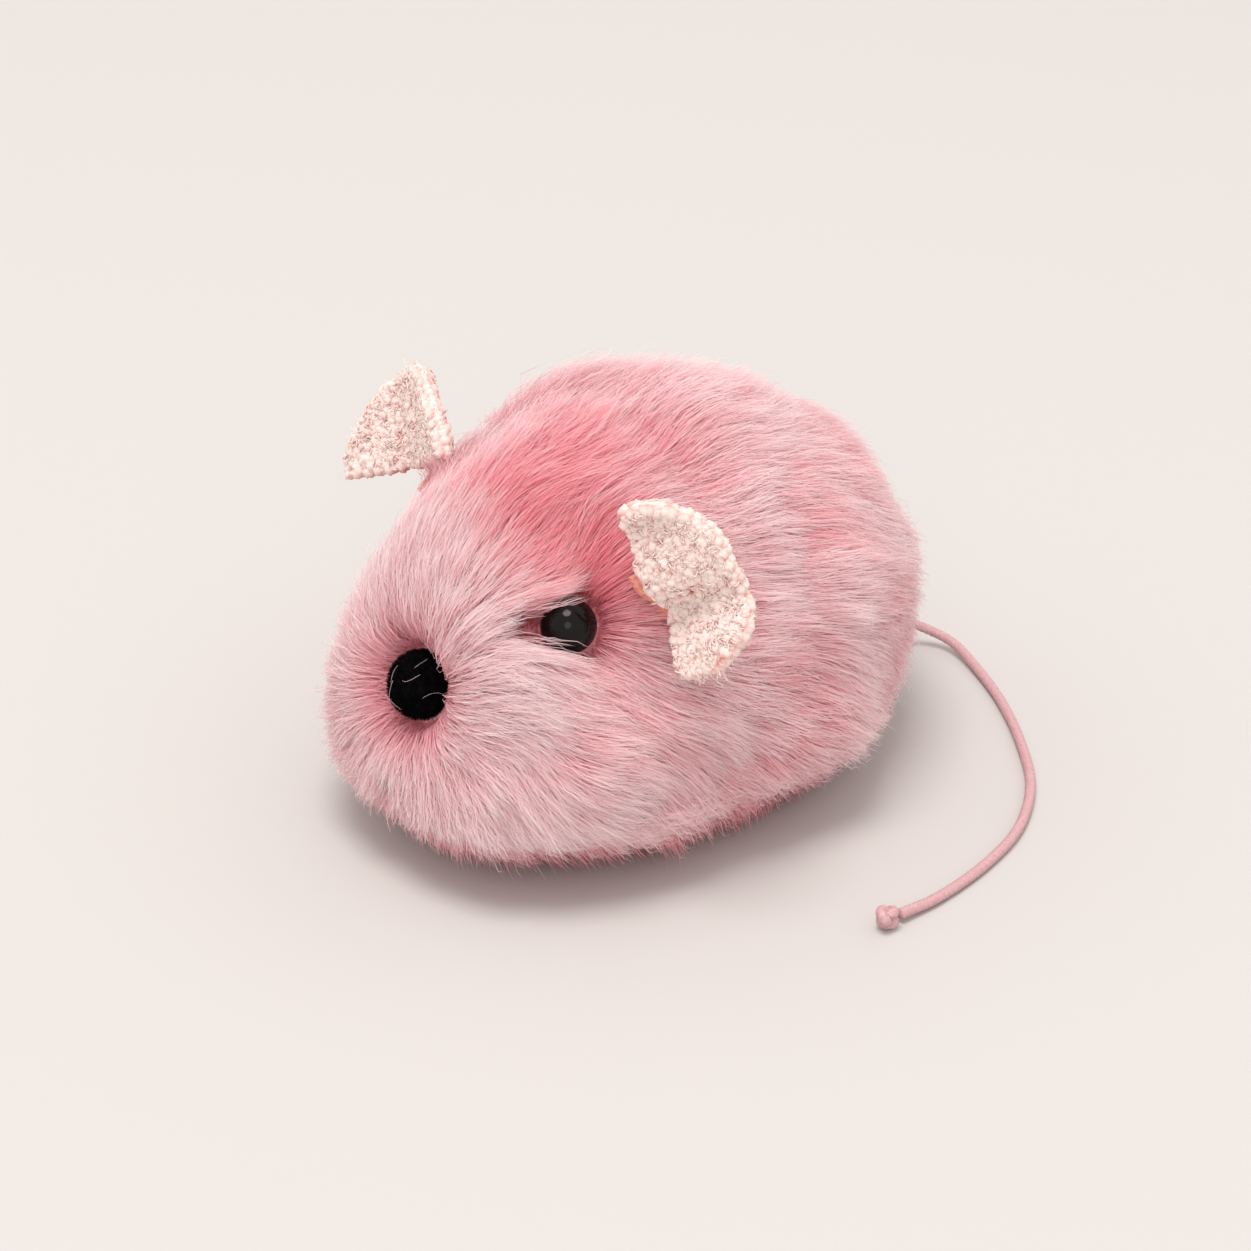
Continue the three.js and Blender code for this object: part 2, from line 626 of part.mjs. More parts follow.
function gear(teeth, addendum, phase, bore, z0, z1) {
  const shape = gearShape(teeth, addendum, phase);
  circleHole(shape, 0, 0, bore);
  return extruded(shape, z0, z1, 5);
}

// Round windows that lighten a wheel, on a circle of the given radius.
function lightened(geometry, radius, hole) {
  const holes = Array.from({ length: WINDOWS }, (_, i) => {
    const p = polar(ORIGIN, radius, (2 * Math.PI * (i + 0.5)) / WINDOWS);
    return rod(hole, -PLATE.inner, PLATE.inner, p.x, p.y, 10);
  });
  return cut(geometry, ...holes);
}

// A shaft between the plates with a thinner pivot in each plate.
function arborProfile(radius, pivot) {
  const inside = PLATE.inner - GAP;
  const end = PLATE.inner + PLATE.thickness + PIVOT_END;
  return [[0, -end], [pivot, -end], [pivot, -inside], [radius, -inside], [radius, inside],
    [pivot, inside], [pivot, end], [0, end]];
}

function pinion(teeth, phase, shaft, z0) {
  return gear(teeth, PINION_ADDENDUM, phase, shaft + RUNNING, z0, z0 + PINION_LENGTH);
}

function wheel(teeth, phase, shaft, z0) {
  return gear(teeth, WHEEL_ADDENDUM, phase, shaft + RUNNING, z0, z0 + WHEEL_THICKNESS);
}

function shaft({ radius, pivot }, sides = 12) {
  return turned(arborProfile(radius, pivot), sides);
}

function addGearTrain() {
  const mount = (name, geometry, at, material) =>
    place(movement, name, geometry.translate(at.x, at.y, 0), material);
  const rivetAt = polar(ORIGIN, RIVET.reach, RIVET.angle);
  const rivetHole = rod(RIVET.radius + RUNNING, DEPTH.great - 1, PLATE.inner, rivetAt.x, rivetAt.y, 10);
  const great = lightened(wheel(TEETH.great, PHASE.great, ARBOR_RADIUS, DEPTH.great), RIVET.reach, 1.6);
  mount("great_wheel", cut(great, rivetHole), WINDING, MATERIAL.brass);

  const centreRadius = CENTRE_SHAFT.radius;
  const centre = wheel(TEETH.centre, PHASE.centre, centreRadius, DEPTH.centre);
  const driving = pinion(TEETH.centrePinion, PHASE.centrePinion, centreRadius, DEPTH.centrePinion);
  mount("centre_arbor", shaft(CENTRE_SHAFT), CENTRE, MATERIAL.steel);
  mount("centre_pinion", driving, CENTRE, MATERIAL.brass);
  mount("centre_wheel", lightened(centre, 5.4, 1.5), CENTRE, MATERIAL.brass);

  const governing = pinion(TEETH.escapePinion, PHASE.escapePinion, ESCAPE_SHAFT.radius, DEPTH.lastPinions);
  mount("escape_arbor", shaft(ESCAPE_SHAFT), ESCAPE, MATERIAL.steel);
  mount("escape_pinion", governing, ESCAPE, MATERIAL.brass);
  mount("escape_wheel", starWheel(), ESCAPE, MATERIAL.brass);
}

// A star wheel with pointed teeth. One points at the verge's pivot, so both pallets face gaps.
function starWheel() {
  const step = Math.PI / TEETH.star;
  const points = Array.from({ length: 2 * TEETH.star }, (_, i) =>
    polar(ORIGIN, i % 2 ? STAR.root : STAR.radius, VERGE.direction + i * step));
  const shape = new THREE.Shape(points);
  circleHole(shape, 0, 0, ESCAPE_SHAFT.radius + RUNNING);
  return extruded(shape, DEPTH.star, DEPTH.star + STAR.thickness, 5);
}

const VERGE_PIVOT = polar(ESCAPE, VERGE.arm, VERGE.direction);

// The rocking verge: a plate with two pallets that reach round the star wheel.
function addVerge() {
  const reach = STAR.radius + VERGE.clearance;
  const palletAt = (side, radius) => polar(ESCAPE, radius, VERGE.direction + side * VERGE.spread);
  const boss = VERGE.pivot + 1;
  const bossAt = (turn) => polar(VERGE_PIVOT, boss, VERGE.direction + turn);
  const shape = new THREE.Shape([
    palletAt(1, reach), bossAt(Math.PI), palletAt(-1, reach), palletAt(-1, reach + 1),
    bossAt(-Math.PI / 2), bossAt(0), bossAt(Math.PI / 2), palletAt(1, reach + 1),
  ]);
  circleHole(shape, VERGE_PIVOT.x, VERGE_PIVOT.y, VERGE.pivot + RUNNING);
  place(movement, "verge", extruded(shape, DEPTH.star, DEPTH.star + VERGE.thickness, 6), MATERIAL.steel);
  const pin = shaft({ radius: VERGE.pivot, pivot: VERGE.pivot }, 10);
  place(movement, "verge_arbor", pin.translate(VERGE_PIVOT.x, VERGE_PIVOT.y, 0), MATERIAL.steel);
}

const PILLARS = [
  { x: -9.5, y: 13.5 }, { x: -9.5, y: 38 }, { x: 22.6, y: 11 }, { x: 6.5, y: 40.6 },
];

const PLATE_LOW = BASE_TOP_Z + GAP + MOTOR_FOOT.lift;

function plateShape() {
  const { front } = MOTOR_FOOT;
  const { rear, shoulder, top, topAt, brow } = PLATE_EDGE;
  return outline([[front, PLATE_LOW], [rear, PLATE_LOW], [rear, shoulder], [topAt, top], [front, brow]]);
}

// The drive axle runs in a lug of each plate that reaches down to the base.
function axleLug() {
  const half = AXLE_RADIUS + 1.5;
  const [low, high] = [BASE_TOP_Z + GAP, PLATE_LOW + 2];
  return outline([
    [AXLE.x - half, high], [AXLE.x - half, low], [AXLE.x + half, low], [AXLE.x + half, high],
  ]);
}

function motorPlate(side) {
  const [near, far] = [PLATE.inner, PLATE.inner + PLATE.thickness];
  const [z0, z1] = side > 0 ? [near, far] : [-far, -near];
  const foot = block(MOTOR_FOOT.front, PLATE_LOW, side * near,
    MOTOR_FOOT.rear, PLATE_LOW + MOTOR_FOOT.thickness, side * (far + MOTOR_FOOT.reach));
  const hole = (p, radius) => rod(radius + RUNNING, z0 - 1, z1 + 1, p.x, p.y, 12);
  const [across, along] = motorScrewPlaces()[0];
  const footHole = rod(SCREW.hole, 0, FAR, 0, 0, 12).rotateX(-Math.PI / 2).translate(along, 0, side * across);
  return cut(
    joined(extruded(plateShape(), z0, z1), extruded(axleLug(), z0, z1), foot),
    hole(WINDING, ARBOR_RADIUS), hole(CENTRE, CENTRE_SHAFT.pivot), hole(ESCAPE, ESCAPE_SHAFT.pivot),
    hole(VERGE_PIVOT, VERGE.pivot), hole(AXLE, AXLE_RADIUS),
    ...PILLARS.map((p) => hole(p, PILLAR.pivot)), footHole,
  );
}

function addFrame() {
  place(movement, "motor_plate_left", motorPlate(1), MATERIAL.steel);
  place(movement, "motor_plate_right", motorPlate(-1), MATERIAL.steel);
  PILLARS.forEach((p, i) => {
    place(movement, `motor_pillar_${i + 1}`, shaft(PILLAR, 10).translate(p.x, p.y, 0), MATERIAL.brass);
  });
}

// The coiled strip, its outer end looped round the lower front pillar.
function addMainspring() {
  const { strip, inner, outer, turns, width } = SPRING;
  const anchor = PILLARS[0];
  const endAngle = direction(WINDING, anchor);
  const count = turns * 14;
  const spiral = (offset) => Array.from({ length: count + 1 }, (_, i) => {
    const share = i / count;
    const radius = inner + (outer - inner) * share + offset;
    return polar(ORIGIN, radius, endAngle - 2 * Math.PI * turns * (1 - share));
  });
  const shape = new THREE.Shape([...spiral(strip / 2), ...spiral(-strip / 2).reverse()]);
  const coil = extruded(shape, DEPTH.spring, DEPTH.spring + width);
  const eye = PILLAR.radius + RUNNING;
  const loop = ring(eye, eye + strip, DEPTH.spring, DEPTH.spring + width, 16)
    .translate(anchor.x - WINDING.x, anchor.y - WINDING.y, 0);
  const reach = Math.hypot(anchor.x - WINDING.x, anchor.y - WINDING.y) - eye - strip / 4;
  const tongue = block(outer - strip / 2, -strip / 2, DEPTH.spring, reach, strip / 2, DEPTH.spring + width)
    .rotateZ(endAngle);
  const made = joined(coil, loop, tongue).translate(WINDING.x, WINDING.y, 0);
  place(movement, "mainspring", made, MATERIAL.springSteel);
}

function ratchetWheel(step) {
  const points = [];
  for (let i = 0; i < TEETH.ratchet; i++) {
    points.push(polar(ORIGIN, RATCHET.root, i * step));
    points.push(polar(ORIGIN, RATCHET.radius, (i + 1) * step));
  }
  const shape = new THREE.Shape(points);
  circleHole(shape, 0, 0, ARBOR_RADIUS + RUNNING);
  return extruded(shape, DEPTH.ratchet, DEPTH.ratchet + RATCHET.thickness, 6);
}

// A bar with round ends across a hub.
function windingKnob(arborEnd) {
  const half = KNOB.wing / 2;
  const reach = KNOB.span / 2 - half;
  const wing = new THREE.Shape();
  wing.absarc(reach, 0, half, -Math.PI / 2, Math.PI / 2, false);
  wing.absarc(-reach, 0, half, Math.PI / 2, (3 * Math.PI) / 2, false);
  return cut(
    joined(rod(KNOB.hub, -KNOB_FAR + 1, -KNOB_NEAR), extruded(wing, -KNOB_FAR, -KNOB_NEAR - 1, 6)),
    rod(ARBOR_RADIUS + RUNNING, -arborEnd - RUNNING, -KNOB_NEAR + 5, 0, 0, 16),
  );
}

function addWinding() {
  const end = PLATE.inner + PLATE.thickness + PIVOT_END;
  const arborEnd = KNOB_FAR - 1.5;
  const step = (2 * Math.PI) / TEETH.ratchet;
  const mount = (name, geometry, material) =>
    place(movement, name, geometry.translate(WINDING.x, WINDING.y, 0), material);
  mount("winding_arbor", rod(ARBOR_RADIUS, -arborEnd, end, 0, 0, 16), MATERIAL.steel);
  mount("ratchet_wheel", ratchetWheel(step), MATERIAL.steel);
  mount("click_spring", clickSpring(step), MATERIAL.springSteel);
  mount("click_rivet", clickRivet(), MATERIAL.steel);
  mount("winding_knob", windingKnob(arborEnd), MATERIAL.knobPlastic);
}

const CLICK = { from: DEPTH.ratchet + RUNNING, to: DEPTH.great - GAP, leaf: 0.35 };

// A leaf spring riveted to the great wheel. Its free end stands just ahead of a ratchet tooth's face.
function clickSpring(step) {
  const rivetAt = polar(ORIGIN, RIVET.reach, RIVET.angle);
  const knee = polar(ORIGIN, RATCHET.radius + 0.9, step * 1.75);
  const tip = polar(ORIGIN, RATCHET.root + 0.5, step * 1.15);
  const line = [tip, knee, rivetAt];
  const sideOf = (offset) => line.map((p, i) => {
    const [a, b] = [line[Math.max(0, i - 1)], line[Math.min(line.length - 1, i + 1)]];
    const normal = new THREE.Vector2(b.y - a.y, a.x - b.x).normalize();
    return new THREE.Vector2(p.x + offset * normal.x, p.y + offset * normal.y);
  });
  const shape = new THREE.Shape([...sideOf(-CLICK.leaf / 2), ...sideOf(CLICK.leaf / 2).reverse()]);
  const eye = rod(RIVET.head + 0.2, CLICK.from, CLICK.to, rivetAt.x, rivetAt.y, 12);
  const hole = rod(RIVET.radius + RUNNING, CLICK.from - 1, CLICK.to + 1, rivetAt.x, rivetAt.y, 10);
  return cut(joined(extruded(shape, CLICK.from, CLICK.to), eye), hole);
}

function clickRivet() {
  const at = polar(ORIGIN, RIVET.reach, RIVET.angle);
  const [top, end] = [CLICK.from - GAP, DEPTH.great + WHEEL_THICKNESS];
  const { head, radius } = RIVET;
  return turned([
    [0, top - 0.5], [head, top - 0.5], [head, top], [radius, top], [radius, end], [0, end],
  ], 12).translate(at.x, at.y, 0);
}

// ---------------------------------------------------------------- running gear

function wheelHub() {
  const rim = WHEEL_RADIUS - TYRE.thickness - RUNNING;
  const bore = AXLE_RADIUS + 0.05;
  const [half, dish] = [TYRE.width / 2, 1.1];
  return turned([
    [bore, -half], [2.4, -half], [2.8, -half + dish], [rim - 1.4, -half + dish], [rim - 0.8, -half],
    [rim, -half], [rim, half], [rim - 0.8, half], [rim - 1.4, half - dish], [2.8, half - dish],
    [2.4, half], [bore, half], [bore, -half],
  ], 20);
}

function tyre() {
  const [inner, half, round] = [WHEEL_RADIUS - TYRE.thickness, TYRE.width / 2, 0.5];
  return turned([
    [inner, -half], [WHEEL_RADIUS - round, -half], [WHEEL_RADIUS, -half + round],
    [WHEEL_RADIUS, half - round], [WHEEL_RADIUS - round, half], [inner, half], [inner, -half],
  ], 28);
}

function addRunningGear() {
  const reach = WHEEL_NEAR + TYRE.width + 0.6;
  const onAxle = (geometry, depth = 0) => geometry.translate(AXLE.x, AXLE.y, depth);
  place(movement, "drive_axle", onAxle(rod(AXLE_RADIUS, -reach, reach, 0, 0, 16)), MATERIAL.steel);
  const drive = pinion(TEETH.drivePinion, PHASE.drivePinion, AXLE_RADIUS, DEPTH.lastPinions);
  place(movement, "drive_pinion", onAxle(drive), MATERIAL.brass);
  for (const [name, side] of [["left", 1], ["right", -1]]) {
    const middle = side * (WHEEL_NEAR + TYRE.width / 2);
    place(movement, `wheel_hub_${name}`, onAxle(wheelHub(), middle), MATERIAL.hubPlastic);
    place(movement, `tyre_${name}`, onAxle(tyre(), middle), MATERIAL.rubber);
  }
  const { radius, width, y, pin } = FRONT_WHEEL;
  const across = (geometry) => geometry.rotateY(Math.PI / 2).translate(0, y, radius);
  const half = width / 2;
  const roller = turned([
    [pin + RUNNING, -half], [radius - 0.6, -half], [radius, -half + 0.6], [radius, half - 0.6],
    [radius - 0.6, half], [pin + RUNNING, half], [pin + RUNNING, -half],
  ], 24);
  place(toy, "front_wheel", across(roller), MATERIAL.hubPlastic);
  place(toy, "front_axle", across(rod(pin, -frontPinReach(), frontPinReach(), 0, 0, 14)), MATERIAL.steel);
}

// ---------------------------------------------------------------- assembly

addFace();
addEars();
addTail();
addFur();
addShell();
addBase();
addScrews();
addFrame();
addMainspring();
addWinding();
addGearTrain();
addVerge();
addRunningGear();

export default toy;
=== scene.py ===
"""Clockwork mouse: fur, face, ears, tail and finishes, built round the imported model."""

import json
import math

import bmesh
import bpy
import numpy as np
from mathutils import Matrix, Vector
from mathutils.kdtree import KDTree


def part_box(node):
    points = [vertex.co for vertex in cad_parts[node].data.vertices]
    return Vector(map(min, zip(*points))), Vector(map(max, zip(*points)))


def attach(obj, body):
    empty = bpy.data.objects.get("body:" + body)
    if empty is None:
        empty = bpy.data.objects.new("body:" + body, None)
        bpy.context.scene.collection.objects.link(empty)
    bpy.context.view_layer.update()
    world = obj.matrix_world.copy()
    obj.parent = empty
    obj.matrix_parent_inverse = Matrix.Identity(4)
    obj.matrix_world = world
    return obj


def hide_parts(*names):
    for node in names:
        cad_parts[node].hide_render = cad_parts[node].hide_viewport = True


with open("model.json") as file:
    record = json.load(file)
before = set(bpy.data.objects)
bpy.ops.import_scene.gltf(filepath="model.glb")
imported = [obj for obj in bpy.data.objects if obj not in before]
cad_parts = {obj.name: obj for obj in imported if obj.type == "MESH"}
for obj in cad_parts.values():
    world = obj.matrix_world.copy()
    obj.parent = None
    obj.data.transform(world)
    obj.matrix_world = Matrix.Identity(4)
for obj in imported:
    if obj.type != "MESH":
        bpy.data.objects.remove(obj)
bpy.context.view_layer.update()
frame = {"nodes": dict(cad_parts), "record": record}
NODES = frame["nodes"]

MM = 0.001


# ------------------------------------------------------------------ small helpers


def unit(v):
    return v / np.maximum(np.linalg.norm(v, axis=-1, keepdims=True), 1e-9)


def dot(a, b):
    return (a * b).sum(-1, keepdims=True)


def smooth(x, low, high):
    """0 below low and 1 above high, with a soft step between."""
    t = np.clip((x - low) / (high - low), 0, 1)
    return t * t * (3 - 2 * t)


def box_mm(node):
    low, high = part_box(node)
    return np.array(low) / MM, np.array(high) / MM


def mesh_of(name, points, faces, smooth_shaded=True):
    """A mesh object from points in millimetres and a list of (n, k) index arrays, one for each k."""
    mesh = bpy.data.meshes.new(name)
    mesh.vertices.add(len(points))
    mesh.vertices.foreach_set("co", (np.asarray(points, np.float64) * MM).astype(np.float32).ravel())
    corners = np.concatenate([f.ravel() for f in faces])
    sizes = np.concatenate([np.full(len(f), f.shape[1]) for f in faces])
    mesh.loops.add(len(corners))
    mesh.loops.foreach_set("vertex_index", corners.astype(np.int32))
    mesh.polygons.add(len(sizes))
    mesh.polygons.foreach_set("loop_start", (np.cumsum(sizes) - sizes).astype(np.int32))
    mesh.polygons.foreach_set("loop_total", sizes.astype(np.int32))
    mesh.polygons.foreach_set("use_smooth", np.full(len(sizes), smooth_shaded))
    mesh.update(calc_edges=True)
    made = bpy.data.objects.new(name, mesh)
    bpy.context.scene.collection.objects.link(made)
    return made


def point_values(piece, name, values):
    held = piece.data.attributes.new(name, "FLOAT", "POINT")
    held.data.foreach_set("value", np.asarray(values, np.float32).ravel())


def corner_map(piece, name, places):
    """A UV map whose corners take the place of their vertex."""
    layer = piece.data.uv_layers.new(name=name, do_init=False)
    corners = np.empty(len(piece.data.loops), np.int32)
    piece.data.loops.foreach_get("vertex_index", corners)
    layer.uv.foreach_set("vector", places[corners].astype(np.float32).ravel())


# ------------------------------------------------------------------ material nodes


class Nodes:
    """Short ways to add nodes to the tree of a material or of a node group."""

    def __init__(self, tree):
        self.tree = tree

    def node(self, kind, **settings):
        made = self.tree.nodes.new("ShaderNode" + kind)
        for key, value in settings.items():
            setattr(made, key, value)
        return made

    def link(self, source, target):
        self.tree.links.new(source, target)

    def fill(self, socket, value):
        """Feeds a socket from another socket, or sets it to a number or a colour."""
        if isinstance(value, bpy.types.NodeSocket):
            self.link(value, socket)
        else:
            socket.default_value = value if isinstance(value, (int, float)) else (*value, 1)

    def noise(self, vector, scale, detail=3, roughness=0.5):
        made = self.node("TexNoise")
        made.inputs["Scale"].default_value = scale
        made.inputs["Detail"].default_value = detail
        made.inputs["Roughness"].default_value = roughness
        self.link(vector, made.inputs["Vector"])
        return made.outputs["Fac"]

    def share_between(self, source, low, high):
        """0 where source is at low or under it, 1 where it is at high or over it."""
        made = self.node("MapRange", clamp=True)
        made.inputs["From Min"].default_value = low
        made.inputs["From Max"].default_value = high
        self.link(source, made.inputs["Value"])
        return made.outputs["Result"]

    def ramp(self, source, *stops):
        """A colour ramp through (position, colour) stops."""
        made = self.node("ValToRGB")
        elements = made.color_ramp.elements
        for _ in stops[2:]:
            elements.new(0.5)
        for element, (position, tint) in zip(elements, stops):
            element.position = position
            element.color = (*tint, 1)
        self.link(source, made.inputs["Fac"])
        return made.outputs["Color"]

    def mix(self, share, first, second):
        made = self.node("Mix", data_type="RGBA", blend_type="MIX")
        colour_sockets = [socket for socket in made.inputs if socket.type == "RGBA"]
        for socket, value in zip([made.inputs["Factor"], *colour_sockets], (share, first, second)):
            self.fill(socket, value)
        return next(socket for socket in made.outputs if socket.type == "RGBA")

    def maths(self, operation, *values):
        """A sum on sockets and numbers, kept between 0 and 1."""
        made = self.node("Math", operation=operation, use_clamp=True)
        for socket, value in zip(made.inputs, values):
            self.fill(socket, value)
        return made.outputs[0]


class Effect(Nodes):
    """A node group that several materials share, with its sockets given as name=kind."""

    def __init__(self, name, inputs, outputs):
        super().__init__(bpy.data.node_groups.new(name, "ShaderNodeTree"))
        for way, sockets in (("INPUT", inputs), ("OUTPUT", outputs)):
            for socket, kind in sockets.items():
                self.tree.interface.new_socket(name=socket, in_out=way, socket_type="NodeSocket" + kind)
        self.given = self.tree.nodes.new("NodeGroupInput").outputs
        self.result = self.tree.nodes.new("NodeGroupOutput").inputs


class Finish(Nodes):
    """A material with one Principled shader, and short ways to feed it."""

    def __init__(self, name, **plain):
        self.material = bpy.data.materials.new(name)
        self.material.use_nodes = True
        super().__init__(self.material.node_tree)
        self.shader = self.tree.nodes["Principled BSDF"]
        self.output = self.tree.nodes["Material Output"]
        for socket, value in plain.items():
            self.shader.inputs[socket.replace("_", " ")].default_value = value

    def feed(self, socket, source):
        self.link(source, self.shader.inputs[socket])

    def attribute(self, name):
        return self.node("Attribute", attribute_name=name).outputs["Fac"]

    def place(self, scale=(1, 1, 1)):
        """Object coordinates, in metres, scaled."""
        coordinates = self.node("TexCoord")
        mapping = self.node("Mapping")
        mapping.inputs["Scale"].default_value = scale
        self.link(coordinates.outputs["Object"], mapping.inputs["Vector"])
        return mapping.outputs["Vector"]

    def effect(self, effect, **values):
        """A shared effect with this material's own values. It gives the effect's outputs."""
        made = self.node("Group", node_tree=effect.tree)
        for socket, value in values.items():
            self.fill(made.inputs[socket.replace("_", " ")], value)
        return made.outputs

    def bump(self, height, distance, strength=1.0):
        """Relief whose full height is distance, in metres."""
        made = self.node("Bump")
        made.inputs["Strength"].default_value = strength
        made.inputs["Distance"].default_value = distance
        self.link(height, made.inputs["Height"])
        self.feed("Normal", made.outputs["Normal"])

    def let_light_through(self, tint, share):
        """Mixes a share of light that passes through, as thin fibres let it, with the plain shader."""
        through, both = self.node("BsdfTranslucent"), self.node("MixShader")
        self.link(tint, through.inputs["Color"])
        both.inputs["Fac"].default_value = share
        self.link(self.shader.outputs[0], both.inputs[1])
        self.link(through.outputs[0], both.inputs[2])
        self.link(both.outputs[0], self.output.inputs["Surface"])


def wear(piece, finish):
    piece.data.materials.clear()
    piece.data.materials.append(finish.material)


def colour(red, green, blue):
    """The linear colour of red, green and blue as a paint chart gives them, from 0 to 255."""
    return tuple(c / 12.92 if c <= 0.04045 else ((c + 0.055) / 1.055) ** 2.4
                 for c in (red / 255, green / 255, blue / 255))


# ------------------------------------------------------------------ camera, light and floor

AIM = Vector((2.6, -3.4, 24.8)) * MM
VIEW_AZIMUTH, VIEW_ELEVATION = math.radians(48), math.radians(28)
VIEW_DISTANCE = 487 * MM
LENS_LENGTH, FILM_WIDTH = 100, 36
SKY_TINT, SKY_STRENGTH = (250, 246, 243), 0.97
FLOOR_HALF_WIDTH = 6
FLOOR_TINT = (203, 199, 196)


def add_camera():
    camera = bpy.data.objects.new("camera", bpy.data.cameras.new("camera"))
    camera.data.lens, camera.data.sensor_width = LENS_LENGTH, FILM_WIDTH
    back = Vector((
        math.sin(VIEW_AZIMUTH) * math.cos(VIEW_ELEVATION),
        -math.cos(VIEW_AZIMUTH) * math.cos(VIEW_ELEVATION),
        math.sin(VIEW_ELEVATION),
    ))
    camera.location = AIM + back * VIEW_DISTANCE
    camera.rotation_mode = "QUATERNION"
    camera.rotation_quaternion = (-back).to_track_quat("-Z", "Y")
    camera.data.clip_start, camera.data.clip_end = 0.01, 50
    bpy.context.scene.collection.objects.link(camera)
    bpy.context.scene.camera = camera


def add_softbox(name, place, size, power, tint):
    light = bpy.data.lights.new(name, "AREA")
    light.shape = "DISK"
    light.size = size
    light.energy = power
    light.color = tint
    lamp = bpy.data.objects.new(name, light)
    lamp.location = place
    lamp.rotation_mode = "QUATERNION"
    lamp.rotation_quaternion = (AIM - Vector(place)).to_track_quat("-Z", "Y")
    bpy.context.scene.collection.objects.link(lamp)


def add_studio():
    scene = bpy.context.scene
    scene.view_settings.view_transform = "Standard"
    world = bpy.data.worlds.new("studio")
    world.use_nodes = True
    background = world.node_tree.nodes["Background"]
    background.inputs["Color"].default_value = (*colour(*SKY_TINT), 1)
    background.inputs["Strength"].default_value = SKY_STRENGTH
    scene.world = world
    add_softbox("key", place=(0.1, -0.4, 2.2), size=1.1, power=28, tint=(1, 0.985, 0.975))
    add_softbox("fill", place=(1.3, -1.3, 1.1), size=1.0, power=5, tint=(1, 0.98, 0.975))

    mesh = bpy.data.meshes.new("floor")
    shape = bmesh.new()
    bmesh.ops.create_grid(shape, x_segments=1, y_segments=1, size=FLOOR_HALF_WIDTH)
    shape.to_mesh(mesh)
    shape.free()
    floor = bpy.data.objects.new("floor", mesh)
    scene.collection.objects.link(floor)
    paper = Finish("floor_paper", Base_Color=(*colour(*FLOOR_TINT), 1), Roughness=0.9)
    paper.shader.inputs["Specular IOR Level"].default_value = 0.1
    wear(floor, paper)


add_camera()
add_studio()


# ------------------------------------------------------------------ tail cord

CORD_RADIUS = 0.75
CORD_SIDES, CORD_STEP = 28, 0.22
TAIL_ROUTE = np.array([  # in metres, from the knot inside the shell to the knot at the end
    [0, 0.0296, 0.012], [0, 0.035, 0.0119], [0, 0.040, 0.0112], [0, 0.045, 0.0096], [0.0002, 0.0497, 0.0072],
    [0.001, 0.054, 0.0049], [0.0034, 0.0577, 0.0029], [0.008, 0.0591, 0.0017], [0.015, 0.0569, 0.001],
    [0.024, 0.0524, 0.0008], [0.034, 0.0457, 0.0008], [0.0436, 0.0374, 0.0008], [0.0505, 0.0273, 0.0008],
    [0.054, 0.0166, 0.0008], [0.0555, 0.006, 0.0009], [0.0554, -0.0016, 0.0013],
])
BRAID = {"strands": 4, "lay": 3.4, "relief": 0.14}  # strands each way round, and the length of one turn


def curve_through(points, step):
    """A smooth line through points, with a place about every step."""
    ends = np.vstack([2 * points[0] - points[1], points, 2 * points[-1] - points[-2]])
    line = []
    for a, b, c, d in zip(ends, ends[1:], ends[2:], ends[3:]):
        t = np.linspace(0, 1, max(2, int(np.linalg.norm(c - b) / step)), endpoint=False)[:, None]
        line.append(0.5 * (2 * b + (c - a) * t + (2 * a - 5 * b + 4 * c - d) * t**2
                           + (3 * b - a - 3 * c + d) * t**3))
    return np.vstack([*line, points[-1:]])


def frames_along(line):
    """Two unit vectors square to each place on a line, which don't twist along it."""
    ways = unit(np.gradient(line, axis=0))
    first = np.empty_like(line)
    first[0] = unit(np.cross(ways[0], [0.31, 0.17, 0.94]))
    for i in range(1, len(line)):
        first[i] = unit(first[i - 1] - ways[i] * (first[i - 1] @ ways[i]))
    return first, np.cross(ways, first)


def lengths_along(line):
    return np.concatenate([[0], np.cumsum(np.linalg.norm(np.diff(line, axis=0), axis=1))])


def tube_parts(line, radius, sides):
    """Points and faces of a closed tube. radius is a number or a function of length and turn."""
    first, second = frames_along(line)
    turn = np.arange(sides) * 2 * math.pi / sides
    along = lengths_along(line)[:, None]
    reach = radius(along, turn[None]) if callable(radius) else np.full((len(line), sides), radius)
    spokes = np.cos(turn)[None, :, None] * first[:, None] + np.sin(turn)[None, :, None] * second[:, None]
    rings = line[:, None] + reach[..., None] * spokes
    points = np.vstack([rings.reshape(-1, 3), line[:1], line[-1:]])
    ring, side = np.meshgrid(np.arange(len(line) - 1), np.arange(sides), indexing="ij")
    here, after = ring * sides + side, ring * sides + (side + 1) % sides
    walls = np.stack([here, after, after + sides, here + sides], -1).reshape(-1, 4)
    side = np.arange(sides)
    start, end = len(line) * sides, len(line) * sides + 1
    last = (len(line) - 1) * sides
    caps = np.vstack([
        np.stack([np.full(sides, start), (side + 1) % sides, side], -1),
        np.stack([np.full(sides, end), last + side, last + (side + 1) % sides], -1),
    ])
    return points, walls, caps


def braided(along, turn):
    """A braid's surface: ridges that run round both ways and pass over and under each other."""
    across = BRAID["strands"] * turn
    way = 2 * math.pi * BRAID["strands"] * along / BRAID["lay"]
    right, left = np.cos(across + way), np.cos(across - way)
    over = np.maximum(right * (1 + 0.4 * left), left * (1 - 0.4 * right))
    return CORD_RADIUS + BRAID["relief"] * (np.abs(over) ** 0.7 - 1)


def cord_piece(name, line, finish):
    points, walls, caps = tube_parts(line, braided, CORD_SIDES)
    piece = mesh_of(name, points, [walls, caps])
    wear(piece, finish)
    return piece


